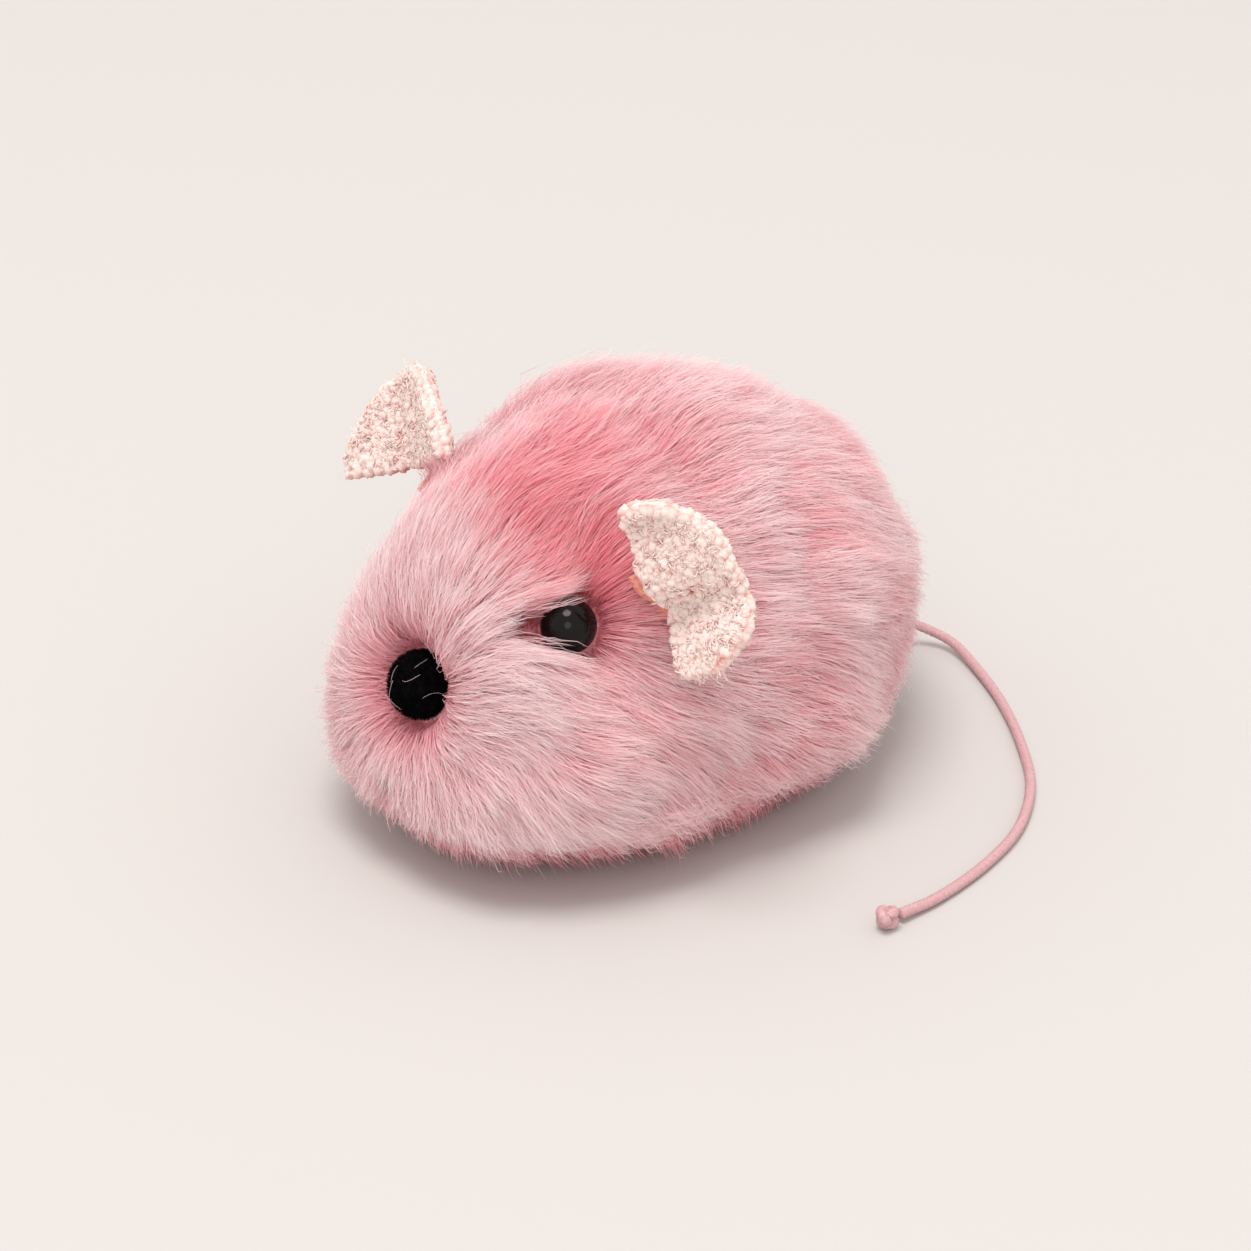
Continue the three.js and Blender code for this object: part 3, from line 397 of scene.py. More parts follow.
def knot_line(middle, along, radius):
    """An overhand knot pulled tight round its middle, with its loose end past it."""
    t = np.linspace(0.35, 2 * math.pi + 0.25, 90)
    x, y, z = np.sin(t) + 2 * np.sin(2 * t), np.cos(t) - 2 * np.cos(2 * t), -np.sin(3 * t)
    size = (radius - CORD_RADIUS) / 3
    side = unit(np.cross(along, [0, 0, 1]))
    up = np.cross(side, along)
    return middle + size * (x[:, None] * along + y[:, None] * up + 1.7 * z[:, None] * side)


def cord_finish():
    finish = Finish("waxed_cord", Roughness=0.5)
    finish.shader.inputs["Specular IOR Level"].default_value = 0.35
    place = finish.place()
    fibre = finish.noise(place, 2600, 3, 0.7)
    patches = finish.noise(place, 180, 2)
    pinks = finish.ramp(fibre, (0.25, colour(192, 134, 140)), (0.75, colour(218, 184, 186)))
    finish.feed("Base Color", finish.mix(patches, pinks, finish.mix(0.55, pinks, colour(206, 162, 166))))
    finish.bump(fibre, 0.00006, 0.5)
    return finish


def add_tail():
    finish = cord_finish()
    route = curve_through(TAIL_ROUTE / MM, CORD_STEP)
    cord = cord_piece("tail_braided_cord", route, finish)
    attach(cord, "body")
    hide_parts("tail_cord")
    for name, node, end, before in (("tail_end_knot", "tail_knot", -1, -2),
                                    ("tail_inner_knot", "tail_anchor_knot", 0, 1)):
        low, high = box_mm(node)
        along = unit(TAIL_ROUTE[end] - TAIL_ROUTE[before])
        knot = cord_piece(name, knot_line((low + high) / 2, along, (high - low)[0] / 2), finish)
        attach(knot, "body")
        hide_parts(node)


add_tail()


# ------------------------------------------------------------------ form of the fur and of what it stands on

FORM = {"front": -49.0, "rear": 49.0, "half_width": 36.0, "top": 60.5, "bottom": 1.6, "squareness": 3.4,
        "rump": 1.35}
PILE = 10.0
SKIN = {"front": FORM["front"] + PILE, "rear": FORM["rear"] - PILE, "half_width": FORM["half_width"] - PILE,
        "top": FORM["top"] - PILE, "bottom": 1.0, "squareness": 3.0, "rump": 2.1}
WIDEST_Y = 5.0
LEVEL_FRONT, LEVEL_REAR = 17.5, 24.0
FRONT_BLUNTNESS = 2.35
BELLY_TAPER = 0.65
NOSE_RADIUS, EYE_RADIUS = 4.8, 3.8


def form_at(form, y, angle):
    """Points of a form at lengthwise places and angles, 0 on its left side and a quarter turn on top."""
    y, angle = np.broadcast_arrays(np.asarray(y, float), np.asarray(angle, float))
    level = LEVEL_FRONT + (LEVEL_REAR - LEVEL_FRONT) * (y - FORM["front"]) / (FORM["rear"] - FORM["front"])
    reach = np.where(y < WIDEST_Y, WIDEST_Y - form["front"], form["rear"] - WIDEST_Y)
    share = np.minimum(1, np.abs(y - WIDEST_Y) / reach)
    swell = np.sqrt(np.maximum(0, 1 - share ** np.where(y < WIDEST_Y, FRONT_BLUNTNESS, form["rump"])))
    c, s = np.cos(angle), np.sin(angle)
    power = np.where(s > 0, 1.0, 2 / form["squareness"])
    x = form["half_width"] * swell * np.sign(c) * np.abs(c) ** power
    height = np.where(s > 0, (form["top"] - level) * swell, (level - form["bottom"]) * swell**BELLY_TAPER)
    return np.stack([x, y, level + height * np.sign(s) * np.abs(s) ** power], -1)


def form_normal(form, y, angle):
    """Outward unit normals of a form."""
    inside = np.clip(y, form["front"] + 0.3, form["rear"] - 0.3)
    lengthwise = form_at(form, inside + 0.2, angle) - form_at(form, inside - 0.2, angle)
    around = form_at(form, inside, angle + 0.02) - form_at(form, inside, angle - 0.02)
    return unit(np.cross(lengthwise, around))


def standing_frame(form, y, angle, side):
    """Where something stands on a form: its place, and ways sideways, upwards and outwards."""
    place, out = form_at(form, y, angle), form_normal(form, y, angle)
    mirror = np.array([side, 1, 1])
    place, out = place * mirror, out * mirror
    upwards = unit(np.array([0, 0, 1.0]) - out * out[2])
    return place, np.cross(upwards, out), upwards, out


EYES = [standing_frame(SKIN, -24.3, 0.79, side) for side in (1, -1)]
NOSE = standing_frame(SKIN, -37.6, math.pi / 2, 1)
EYE_CENTRES = np.array([place + 1.9 * out for place, _, _, out in EYES])
NOSE_CENTRE = NOSE[0] + 0.2 * NOSE[3]
EAR_PLACES = [standing_frame(FORM, -17.5, 0.7, side) for side in (1, -1)]
KNOB_WELL = {"centre": np.array([0, 27.0]), "radius": 9.2}
EAR_STANDS = [unit(np.array([0.8, 0.36, 0.36])), unit(np.array([-0.42, 0.2, 0.85]))]


def ear_frame(place, outwards):
    """The ear's own frame: out from the head, across the base, and forwards."""
    forwards = unit(np.array([0, -1.0, 0]) + outwards * outwards[1])
    return place, outwards, np.cross(forwards, outwards), forwards


EARS = [ear_frame(place[0], stand) for place, stand in zip(EAR_PLACES, EAR_STANDS)]


# ------------------------------------------------------------------ fur

FIBRES = {"long": 188000, "short": 24000}
CLUMPS = 3600
BANDS = 8
STEPS = np.array([0, 0.3, 0.6, 0.84, 1.0])
LOWEST_ROOT = 3.2
BASE_OPENING = {"half_size": np.array([22, 33]), "top": 7.5}
SWIRLS = (  # middle, reach, pull
    (EYE_CENTRES[0], 9.0, 1.6), (EYE_CENTRES[1], 9.0, 1.6), (NOSE_CENTRE, 8.0, 1.5),
)
FALL = 0.016  # how a strand bends down to follow the round body, per mm
SWING = ((1, 13, 0.17), (2, 4.5, 0.06))  # seed, length and size of the waves that the combing wanders in
LOCK_PULL = (0.1, 0.62)


class Ripple:
    """A smooth random value over space, from a sum of waves about one length."""

    def __init__(self, seed, length, waves=14):
        own = np.random.default_rng(seed)
        ways = unit(own.normal(size=(waves, 3)))
        self.ways = ways * 2 * math.pi / (length * own.uniform(0.7, 1.5, (waves, 1)))
        self.starts = own.uniform(0, 2 * math.pi, waves)

    def __call__(self, points):
        waves = np.sin(points @ self.ways.T + self.starts)
        return waves.sum(-1, keepdims=True) / math.sqrt(len(self.starts) / 2)


def combed(points, normals):
    """The way that fur is combed: away from the nose, backwards, down the flanks and round what's there."""
    from_nose = points - NOSE_CENTRE
    near = np.exp(-np.linalg.norm(from_nose, axis=1, keepdims=True) / 26)
    side = np.sign(points[:, :1]) * smooth(np.abs(points[:, :1]), 2, 22)
    low = 1 - smooth(points[:, 2:3], 8, 34)
    rear = smooth(points[:, 1:2], 22, 48)
    way = unit(from_nose) * (0.35 + 2.2 * near)
    way = way + np.array([0, 1.0, 0]) * (0.95 - 0.5 * low)
    way = way + np.hstack([0.35 * side, 0 * side, -0.35 * np.abs(side) - 1.15 * low - 0.5 * rear])
    for centre, reach, swirl in SWIRLS:
        away = points - centre
        away = away - dot(away, normals) * normals
        gap = np.linalg.norm(away, axis=1, keepdims=True)
        way = way + swirl * np.exp(-(gap / reach) ** 2) * away / np.maximum(gap, 1)
    for (centre, stand, across, _), side_sign in zip(EARS, (1, -1)):
        away = points - (centre - 3 * unit(stand))
        gap = np.linalg.norm(away, axis=1, keepdims=True)
        beside = np.sign(dot(away, np.array([0, 0, 1.0])) + 0.3)
        along = unit(np.array([0.55 * side_sign, 0.75, -0.35]))
        way = way + 1.5 * np.exp(-(gap / 12) ** 2) * (along + 0.25 * beside * np.array([0, 0, 1.0]))
    way = way - dot(way, normals) * normals
    return unit(way)


def root_places(count, seed):
    """Even random places over the skin, as lengthwise places and angles, with none where something stands."""
    own = np.random.default_rng(seed)
    span, end, extra = SKIN["rear"] - SKIN["front"] - 0.1, 6.0, 5 * count
    near_end = end * own.uniform(0, 1, (2, count)) ** 2 + 0.04
    y = np.concatenate([own.uniform(SKIN["front"] + 0.05, SKIN["rear"] - 0.05, extra),
                        SKIN["front"] + near_end[0], SKIN["rear"] - near_end[1]])
    angle = own.uniform(-math.pi / 2, 1.5 * math.pi, len(y))
    inside = np.clip(y, SKIN["front"] + 0.2, SKIN["rear"] - 0.2)
    lengthwise = form_at(SKIN, inside + 0.1, angle) - form_at(SKIN, inside - 0.1, angle)
    around = form_at(SKIN, inside, angle + 0.01) - form_at(SKIN, inside, angle - 0.01)
    patch = np.linalg.norm(np.cross(lengthwise, around), axis=1)
    from_end = np.minimum(y - SKIN["front"], SKIN["rear"] - y)
    crowd = 1 + (from_end < end) * (count * span / extra) / (2 * np.sqrt(end * from_end))
    chance = patch / crowd * (1.7 - 0.7 * smooth(y, -36, -20))
    keep = own.uniform(0, np.quantile(chance, 0.997), len(y)) < chance
    y, angle = y[keep], angle[keep]
    points = form_at(SKIN, y, angle)
    free = points[:, 2] > LOWEST_ROOT
    over_base = (np.abs(points[:, :2]) < BASE_OPENING["half_size"]).all(1)
    free &= ~over_base | (points[:, 2] >= BASE_OPENING["top"])
    free &= np.linalg.norm(points - NOSE_CENTRE, axis=1) > NOSE_RADIUS + 0.2
    for centre in EYE_CENTRES:
        free &= np.linalg.norm(points - centre, axis=1) > EYE_RADIUS + 0.6
    from_knob = np.linalg.norm(points[:, 1:] - KNOB_WELL["centre"], axis=1)
    free &= (points[:, 0] >= 0) | (from_knob >= KNOB_WELL["radius"])
    y, angle = y[free], angle[free]
    chosen = own.permutation(len(y))[:count]
    return y[chosen], angle[chosen]


def strand_lines(y, angle, depth, lay):
    """Centre lines of strands: they leave the skin outwards and bend over the way that the fur is combed."""
    roots, normals = form_at(SKIN, y, angle), form_normal(SKIN, y, angle)
    stretch = np.where(y < WIDEST_Y, (FORM["front"] - WIDEST_Y) / (SKIN["front"] - WIDEST_Y),
                       (FORM["rear"] - WIDEST_Y) / (SKIN["rear"] - WIDEST_Y))
    rise = form_at(FORM, WIDEST_Y + (y - WIDEST_Y) * stretch * 0.999, angle) - roots
    way = combed(roots, normals)
    turned = np.cross(normals, way)
    swing = sum(size * Ripple(seed, length)(roots) for seed, length, size in SWING)
    way = unit(way + swing * turned)
    t = STEPS[None, :, None]
    depth, lay = depth[:, None, None], lay[:, None, None]
    lines = (roots[:, None] + rise[:, None] * depth * (1 - (1 - t) ** 2.2) + way[:, None] * lay * t**1.7
             - normals[:, None] * FALL * (lay * t**1.7) ** 2)
    return roots, normals, lines


def gather(lines, roots, own):
    """Strands drawn together into locks towards their tips."""
    chosen = own.permutation(len(roots))[:CLUMPS]
    tree = KDTree(len(chosen))
    for i, place in enumerate(roots[chosen]):
        tree.insert(place, i)
    tree.balance()
    nearest = np.fromiter((tree.find(place)[1] for place in roots), int, len(roots))
    pull = own.uniform(*LOCK_PULL, len(chosen))[nearest][:, None]
    leaders = lines[chosen][nearest]
    offset = (leaders - roots[chosen][nearest][:, None]) - (lines - roots[:, None])
    together = leaders - lines
    share = (smooth(STEPS, 0.25, 1.0)[None, :, None]) * pull[:, None]
    return lines + share * (0.75 * together + 0.25 * offset), nearest


WELLS = (  # middle, way out, radius at the middle, how much wider for each mm out, share of strands kept out
    (EYE_CENTRES[0], EYES[0][3], 4.0, 0.22, 0.93),
    (EYE_CENTRES[1], EYES[1][3], 3.5, 0.1, 0.75),
    (NOSE_CENTRE, NOSE[3], 5.3, 0.3, 0.985),
)
EAR_SIZE = {"reach": 12.5, "half_edge": 11.5, "cup": 3.5}
EAR_GAP = 1.7  # how far strands stay off an ear's cloth
LOWEST_FIBRE = 0.35


def part_round(lines, roots, centre, out, radius, flare, kept_out):
    """Strands led round one side or the other of a well that opens outwards."""
    from_middle, way = lines - centre, lines[:, -1] - roots
    height = from_middle @ out
    way = unit(way - (way @ out)[:, None] * out)
    side = np.cross(out, way)
    ahead = (from_middle * way[:, None]).sum(-1)
    beside = (from_middle * side[:, None]).sum(-1)
    which = np.where(beside[:, :1] < 0, -1, 1)
    mouth = (radius + flare * np.maximum(height, 0)) * smooth(height, -6, -2) * kept_out
    wanted = mouth * np.exp(-((ahead / (1.25 * np.maximum(mouth, 0.1))) ** 4))
    needed = np.maximum(wanted - beside * which, 0)
    bend = np.sqrt(STEPS)[None]
    most = np.minimum((needed[:, 1:] / bend[:, 1:]).max(1, keepdims=True), 9)
    return lines + (most * bend * which)[..., None] * side[:, None]


def clear_of_things(lines, roots, own):
    """Strands moved out of the wells round the eyes and nose, off the ears and out of the knob's well."""
    for centre, out, radius, flare, share in WELLS:
        obeys = own.uniform(0, 1, (len(lines), 1)) < share
        kept = np.where(obeys, own.uniform(0.8, 1.12, (len(lines), 1)), 0.5)
        lines = part_round(lines, roots, centre, out, radius, flare, kept)
    for place, stand, across, forwards in EARS:
        local = (lines - place) @ np.stack([stand, across, forwards], -1)
        rooted = (roots - place) @ forwards
        cup = EAR_SIZE["cup"] * (local[..., 1] / EAR_SIZE["half_edge"]) ** 2
        within = smooth(local[..., 0], -3.5, 0) * (1 - smooth(local[..., 0], 11, 15))
        within *= 1 - smooth(np.abs(local[..., 1]), 10.5, 14.5)
        behind = np.sign(rooted)[:, None]
        gap = (local[..., 2] - cup) * behind
        shift = np.maximum(0, EAR_GAP - gap) * within * behind
        lines = lines + np.clip(shift, -7, 7)[..., None] * forwards
    off = lines[..., 1:] - KNOB_WELL["centre"]
    gap = np.linalg.norm(off, axis=-1, keepdims=True)
    beside = (lines[..., :1] < -20) * np.maximum(0, KNOB_WELL["radius"] - gap)
    lines[..., 1:] += off / np.maximum(gap, 0.01) * beside
    lines[..., 2] = np.maximum(lines[..., 2], LOWEST_FIBRE + 0.01 * roots[:, None, 2])
    return lines


CROWN = {"centre": np.array([6, -20.5, 50.5]), "reach": np.array([12, 14.5, 13])}
BEHIND_EYE = np.array([0, 4.5, 3.0])
FLYAWAY_SHARE = 0.004
CROPPED = (  # middle, share of the depth that is cut off
    (EYE_CENTRES[0], 0.55), (EYE_CENTRES[1], 0.35), (NOSE_CENTRE, 0.5),
)
CROP_REACH = 8
TAPER = np.array([0.75, 1.0, 0.95, 0.7, 0])  # a strand's width at each of its steps
STRAND_WIDTH = (0.075, 0.12)
STRAND_LAY = (7.5, 13)
SHORT_SHARE = 0.6
# Share of strands made pale all along: pale fibres, and painted sheen.
PALE_SHARE = 0.06
OVERHANG = (9.5, 13.5)  # heights that the upper pile's tips stop at, above the low strands that are painted dark as shade under the overhang


def ribbon_mesh(lines, normals, width, own):
    """Points and faces of flat tapering strands, each turned a little its own way about its length."""
    count, rings = lines.shape[:2]
    tangents = unit(np.gradient(lines, axis=1))
    sideways = unit(np.cross(tangents, normals[:, None]))
    upright = np.cross(sideways, tangents)
    roll = own.normal(0, 0.55, (count, 1, 1))
    across = np.cos(roll) * sideways + np.sin(roll) * upright
    half = 0.5 * width[:, None, None] * TAPER[None, :, None]
    left, right = lines - across * half, lines + across * half
    points = np.empty((count, 2 * rings - 1, 3))
    points[:, 0:-1:2], points[:, 1:-1:2], points[:, -1] = left[:, :-1], right[:, :-1], lines[:, -1]
    start = (np.arange(count) * (2 * rings - 1))[:, None, None]
    quads = np.array([[2 * k, 2 * k + 1, 2 * k + 3, 2 * k + 2] for k in range(rings - 2)])
    tips = np.array([[2 * rings - 4, 2 * rings - 3, 2 * rings - 2]])
    return points, (start + quads).reshape(-1, 4), (start + tips).reshape(-1, 3)


def blush_at(points):
    """Where the fur is made a deeper pink: over the crown and behind each eye."""
    value = 0.85 * np.exp(-np.linalg.norm((points - CROWN["centre"]) / CROWN["reach"], axis=1) ** 2)
    for centre in EYE_CENTRES:
        value += 0.75 * np.exp(-(np.linalg.norm(points - centre - BEHIND_EYE, axis=1) / 8.5) ** 2)
    return np.minimum(value, 1)


def fur_finish():
    finish = Finish("mouse_fur", Roughness=0.42)
    finish.shader.inputs["Specular IOR Level"].default_value = 0.42
    along, tone = finish.attribute("along"), finish.attribute("tone")
    pale = finish.ramp(along, (0.0, colour(240, 162, 176)), (0.4, colour(247, 200, 207)),
                       (0.75, colour(253, 233, 235)), (1.0, colour(255, 250, 250)))
    deep = finish.ramp(along, (0.0, colour(240, 138, 154)), (0.4, colour(248, 160, 173)),
                       (0.8, colour(251, 180, 190)), (1.0, colour(253, 208, 212)))
    # Painted shade: a dark colour that the low strands under the body's overhang take, for the shadow that
    # falls there.
    painted_under_shade = finish.ramp(along, (0.0, colour(150, 66, 78)), (1.0, colour(206, 118, 128)))
    tint = finish.mix(finish.maths("MULTIPLY", tone, 1.5), pale, deep)
    # Tone over two thirds turns the colour towards the painted shade colour.
    tint = finish.mix(finish.maths("MULTIPLY_ADD", tone, 3.0, -2.0), tint, painted_under_shade)
    finish.feed("Base Color", tint)
    finish.let_light_through(tint, 0.5)
    return finish


def grow(kind, count, seed):
    """Strand lines of one kind, with each strand's normal, width and tone."""
    own = np.random.default_rng(seed)
    y, angle = root_places(count, seed)
    roots = form_at(SKIN, y, angle)
    low = 1 - smooth(roots[:, 2], 10, 15)
    muzzle = 1 - smooth(roots[:, 1], -38, -22)
    depth = own.uniform(0.66, 1.0, len(y)) ** 0.8 * (1 - 0.66 * low)
    for centre, cropped in CROPPED:
        depth *= 1 - cropped * np.exp(-(np.linalg.norm(roots - centre, axis=1) / CROP_REACH) ** 2)
    depth *= 1 + 0.09 * (Ripple(6, 15)(roots)[:, 0] - 1) * (1 - low)
    depth *= np.where(own.uniform(0, 1, len(y)) < FLYAWAY_SHARE, 1.35, 1)
    length = own.uniform(*STRAND_LAY, len(y)) * (1 - 0.25 * muzzle) * (1 - 0.35 * low)
    if kind == "short":
        depth, length = depth * SHORT_SHARE, length * SHORT_SHARE
    roots, normals, lines = strand_lines(y, angle, depth, length)
    lines, lock = gather(lines, roots, own)
    lines[..., 2] -= own.uniform(0, 4.5, (len(y), 1)) * low[:, None] * STEPS[None] ** 2
    overhang = (1 - low) * own.uniform(*OVERHANG, len(y))
    lines[..., 2] = np.maximum(lines[..., 2], np.minimum(overhang[:, None], roots[:, 2:] - 0.2))
    frizz = own.normal(0, 1, (len(y), 1, 3)) * 0.75 + own.normal(0, 1, (len(y), len(STEPS), 3)) * 0.25
    lines = lines + frizz * (STEPS**1.3)[None, :, None]
    lines = clear_of_things(lines, roots, own)
    lock_tone = np.random.default_rng(seed + 5).normal(0, 1, CLUMPS)[lock]
    tone = 0.1 + 0.1 * lock_tone + own.normal(0, 0.16, len(y)) + 0.1 * Ripple(4, 14)(roots)[:, 0]
    tone = tone + blush_at(lines[:, 2]) - 0.4 * muzzle + (0.25 if kind == "short" else 0)
    # Pale strands: pale fibres, which also paint in sheen.
    pale = own.uniform(0, 1, len(y)) < PALE_SHARE
    tone = np.clip(np.where(pale, tone - 0.6, tone), 0, 1) / 1.5
    # Painted shade: low strands get a high tone, which paints them dark for the shadow under the overhang.
    tone = np.maximum(tone, low * own.uniform(0.75, 1, len(y)))
    width = own.uniform(*STRAND_WIDTH, len(y))
    return lines, normals, width, tone


def add_fur():
    grown = [grow("long", FIBRES["long"], 11), grow("short", FIBRES["short"], 12)]
    lines, normals, width, tone = (np.concatenate(parts) for parts in zip(*grown))
    order = np.argsort(lines[:, 0, 1])
    finish = fur_finish()
    own = np.random.default_rng(3)
    along_strand = np.append(np.repeat(STEPS[:-1], 2), STEPS[-1])
    for number, members in enumerate(np.array_split(order, BANDS), 1):
        points, quads, tips = ribbon_mesh(lines[members], normals[members], width[members], own)
        band = mesh_of(f"fur_band_{number}", points.reshape(-1, 3), [quads, tips])
        per_point = points.shape[1]
        along = np.tile(along_strand, len(members))
        tones = np.repeat(tone[members], per_point)
        point_values(band, "along", along)
        point_values(band, "tone", tones)
        corner_map(band, "OFBake", np.stack([0.02 + 0.96 * tones, 0.02 + 0.96 * along], -1))
        wear(band, finish)
        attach(band, "body")
        if number == 1:
            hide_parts("fur_cover")


def add_skin():
    """The knitted backing that the pile stands on, open over the base plate."""
    rings, sides = 90, 72
    t = np.linspace(-1, 1, rings)
    y = np.where(t < 0, WIDEST_Y + (WIDEST_Y - SKIN["front"]) * -np.sin(-t * math.pi / 2),
                 WIDEST_Y + (SKIN["rear"] - WIDEST_Y) * np.sin(t * math.pi / 2))
    level = LEVEL_FRONT + (LEVEL_REAR - LEVEL_FRONT) * (y - FORM["front"]) / (FORM["rear"] - FORM["front"])
    bottom = form_at(SKIN, y, -math.pi / 2)[:, 2]
    drop = np.minimum(1, (level - 3.0) / np.maximum(level - bottom, 1e-3))
    lowest = np.arcsin(np.clip(drop, 0, 1) ** (SKIN["squareness"] / 2))
    share = np.linspace(0, 1, sides)
    angle = -lowest[:, None] + (math.pi + 2 * lowest[:, None]) * share
    points = form_at(SKIN, np.repeat(y[:, None], sides, 1), angle).reshape(-1, 3)
    ring, side = np.meshgrid(np.arange(rings - 1), np.arange(sides - 1), indexing="ij")
    corner = ring * sides + side
    walls = np.stack([corner, corner + sides, corner + sides + 1, corner + 1], -1).reshape(-1, 4)
    skin = mesh_of("fur_backing", points, [walls])
    shape = bmesh.new()
    shape.from_mesh(skin.data)
    bmesh.ops.remove_doubles(shape, verts=shape.verts, dist=0.02 * MM)
    bmesh.ops.dissolve_degenerate(shape, edges=shape.edges, dist=0.01 * MM)
    bmesh.ops.recalc_face_normals(shape, faces=shape.faces)
    if sum(face.normal.dot(face.calc_center_median() - AIM) for face in shape.faces) < 0:
        bmesh.ops.reverse_faces(shape, faces=shape.faces)
    shape.to_mesh(skin.data)
    shape.free()
    solid = skin.modifiers.new("thickness", "SOLIDIFY")
    solid.thickness, solid.offset = 0.25 * MM, -1
    backing = Finish("fur_backing", Base_Color=(*colour(238, 170, 178), 1), Roughness=0.9)
    knit = backing.noise(backing.place(), 1400, 2)
    backing.bump(knit, 0.0001, 0.6)
    wear(skin, backing)
    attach(skin, "body")


add_fur()
add_skin()


# ------------------------------------------------------------------ ears

LOOPS = {"each_face": 900, "rim": 200}
TUFTS = {"each_face": 1350, "rim": 210}
EAR_THREADS = 26
EAR_CLOTH, EAR_SEAM_CLOTH = 0.7, 0.9  # thicknesses
EAR_ROWS, EAR_COLUMNS = 16, 44
SEAM_ROWS, SEAM_COLUMNS = 8, 15


def ear_depth(side, x, y):
    """How far forwards an ear's cloth lies: cupped, and folded at its base where it is sewn down."""
    cup = EAR_SIZE["cup"] * (y / EAR_SIZE["half_edge"]) ** 2
    if side == "left":
        fold = np.exp(-((x / 7.5) ** 2))
        return cup * (1 - 0.35 * fold) + fold * (1.9 * np.tanh((y + 0.6) / 1.0) + 1.2) + 0.5 * np.sin(0.5 * y)
    crease = np.exp(-(((y - 0.8) / 1.8) ** 2))
    return cup * 0.8 - 1.9 * crease * (1 - 0.35 * x / EAR_SIZE["reach"]) + 0.35 * np.sin(0.7 * y + 1)


def ear_outline(side, turn):
    """An ear's places across and out, by turn from one end of its base to the other, cut unevenly by hand."""
    uneven = 1 + 0.035 * np.sin(3 * turn + (1 if side == "left" else 2.2)) + 0.02 * np.sin(7 * turn)
    if side == "right":
        uneven = uneven * (1 + 0.1 * np.exp(-(((turn - 1.75) / 0.35) ** 2)))
    blunt = 0.78 if side == "left" else 0.92
    c, s = np.cos(turn), np.sin(turn)
    return (EAR_SIZE["half_edge"] * np.sign(c) * np.abs(c) ** blunt * uneven,
            0.94 * EAR_SIZE["reach"] * np.abs(s) ** blunt * uneven)


def ear_points(side, share, turn):
    """Places on an ear's cloth, in its own frame (out, across, forwards)."""
    across, out = ear_outline(side, turn)
    x, y = out * share, across * share
    return np.stack([x, y, ear_depth(side, x, y)], -1)


def ear_to_world(frame_here, local):
    place, stand, across, forwards = frame_here
    return place + local @ np.stack([stand, across, forwards])


def loops_mesh(name, places, normals, own):
    """Small closed loops of yarn that stand up from the cloth."""
    count, rings, sides = len(places), 6, 3
    lean = unit(normals + 0.45 * own.normal(size=(count, 3)))
    sideways = unit(np.cross(lean, own.normal(size=(count, 3))))
    third = np.cross(lean, sideways)
    size = own.uniform(0.3, 0.6, (count, 1, 1))
    yarn = own.uniform(0.08, 0.14, (count, 1, 1, 1))
    arc = np.linspace(-0.35, math.pi + 0.35, rings)[None, :, None]
    twist = (np.linspace(-0.5, 0.5, rings)[None, :, None] * own.normal(0, 0.5, (count, 1, 1)))
    line = (places[:, None] + size * (np.cos(arc) * sideways[:, None] + (0.35 + np.sin(arc)) * lean[:, None]
                                      + twist * third[:, None]))
    outwards = np.cos(arc) * sideways[:, None] + np.sin(arc) * lean[:, None]
    turn = (np.arange(sides) * 2 * math.pi / sides)[None, None, :, None]
    taper = np.array([0.8, 1, 1, 1, 1, 0.8])[None, :, None, None]
    points = (line[:, :, None] + yarn * taper
              * (np.cos(turn) * outwards[:, :, None] + np.sin(turn) * third[:, None, None]))
    start = (np.arange(count) * rings * sides)[:, None, None]
    walls = np.array([[r * sides + s, r * sides + (s + 1) % sides,
                       (r + 1) * sides + (s + 1) % sides, (r + 1) * sides + s]
                      for r in range(rings - 1) for s in range(sides)])
    piece = mesh_of(name, points.reshape(-1, 3), [(start + walls).reshape(-1, 4)])
    per_loop = rings * sides
    # Height up each loop, which the painted shade at the loop's foot follows.
    height = np.tile(np.repeat(np.sin(np.linspace(0, math.pi, rings)), sides), count)
    tone = np.repeat(own.uniform(0, 1, count), per_loop)
    point_values(piece, "height", height)
    point_values(piece, "tone", tone)
    corner_map(piece, "OFBake", np.stack([0.02 + 0.96 * tone, 0.02 + 0.96 * height], -1))
    return piece


def tufts_mesh(name, places, normals, own):
    """Round puffs where a loop of the yarn has balled up."""
    shape = bmesh.new()
    bmesh.ops.create_icosphere(shape, subdivisions=1, radius=1)
    ball = np.array([v.co for v in shape.verts])
    faces = np.array([[v.index for v in face.verts] for face in shape.faces])
    shape.free()
    count = len(places)
    size = own.uniform(0.5, 0.95, (count, 1, 1)) * own.uniform(0.8, 1.2, (count, 1, 3))
    first = unit(np.cross(normals, own.normal(size=(count, 3))))
    turned = np.stack([first, np.cross(normals, first), normals], 1)
    lumps = 1 + own.normal(0, 0.13, (count, len(ball), 1))
    points = places[:, None] + np.einsum("nvk,nkd->nvd", ball[None] * lumps * size, turned)
    faces = (np.arange(count)[:, None, None] * len(ball) + faces).reshape(-1, 3)
    piece = mesh_of(name, points.reshape(-1, 3), [faces])
    # Height up each puff, which the painted shade on its underside follows.
    height = np.clip(0.5 + 0.5 * (ball @ [0, 0, 1.0]), 0, 1)
    tone = np.repeat(own.uniform(0, 1, count), len(ball))
    point_values(piece, "height", np.tile(height, count))
    point_values(piece, "tone", tone)
    return piece


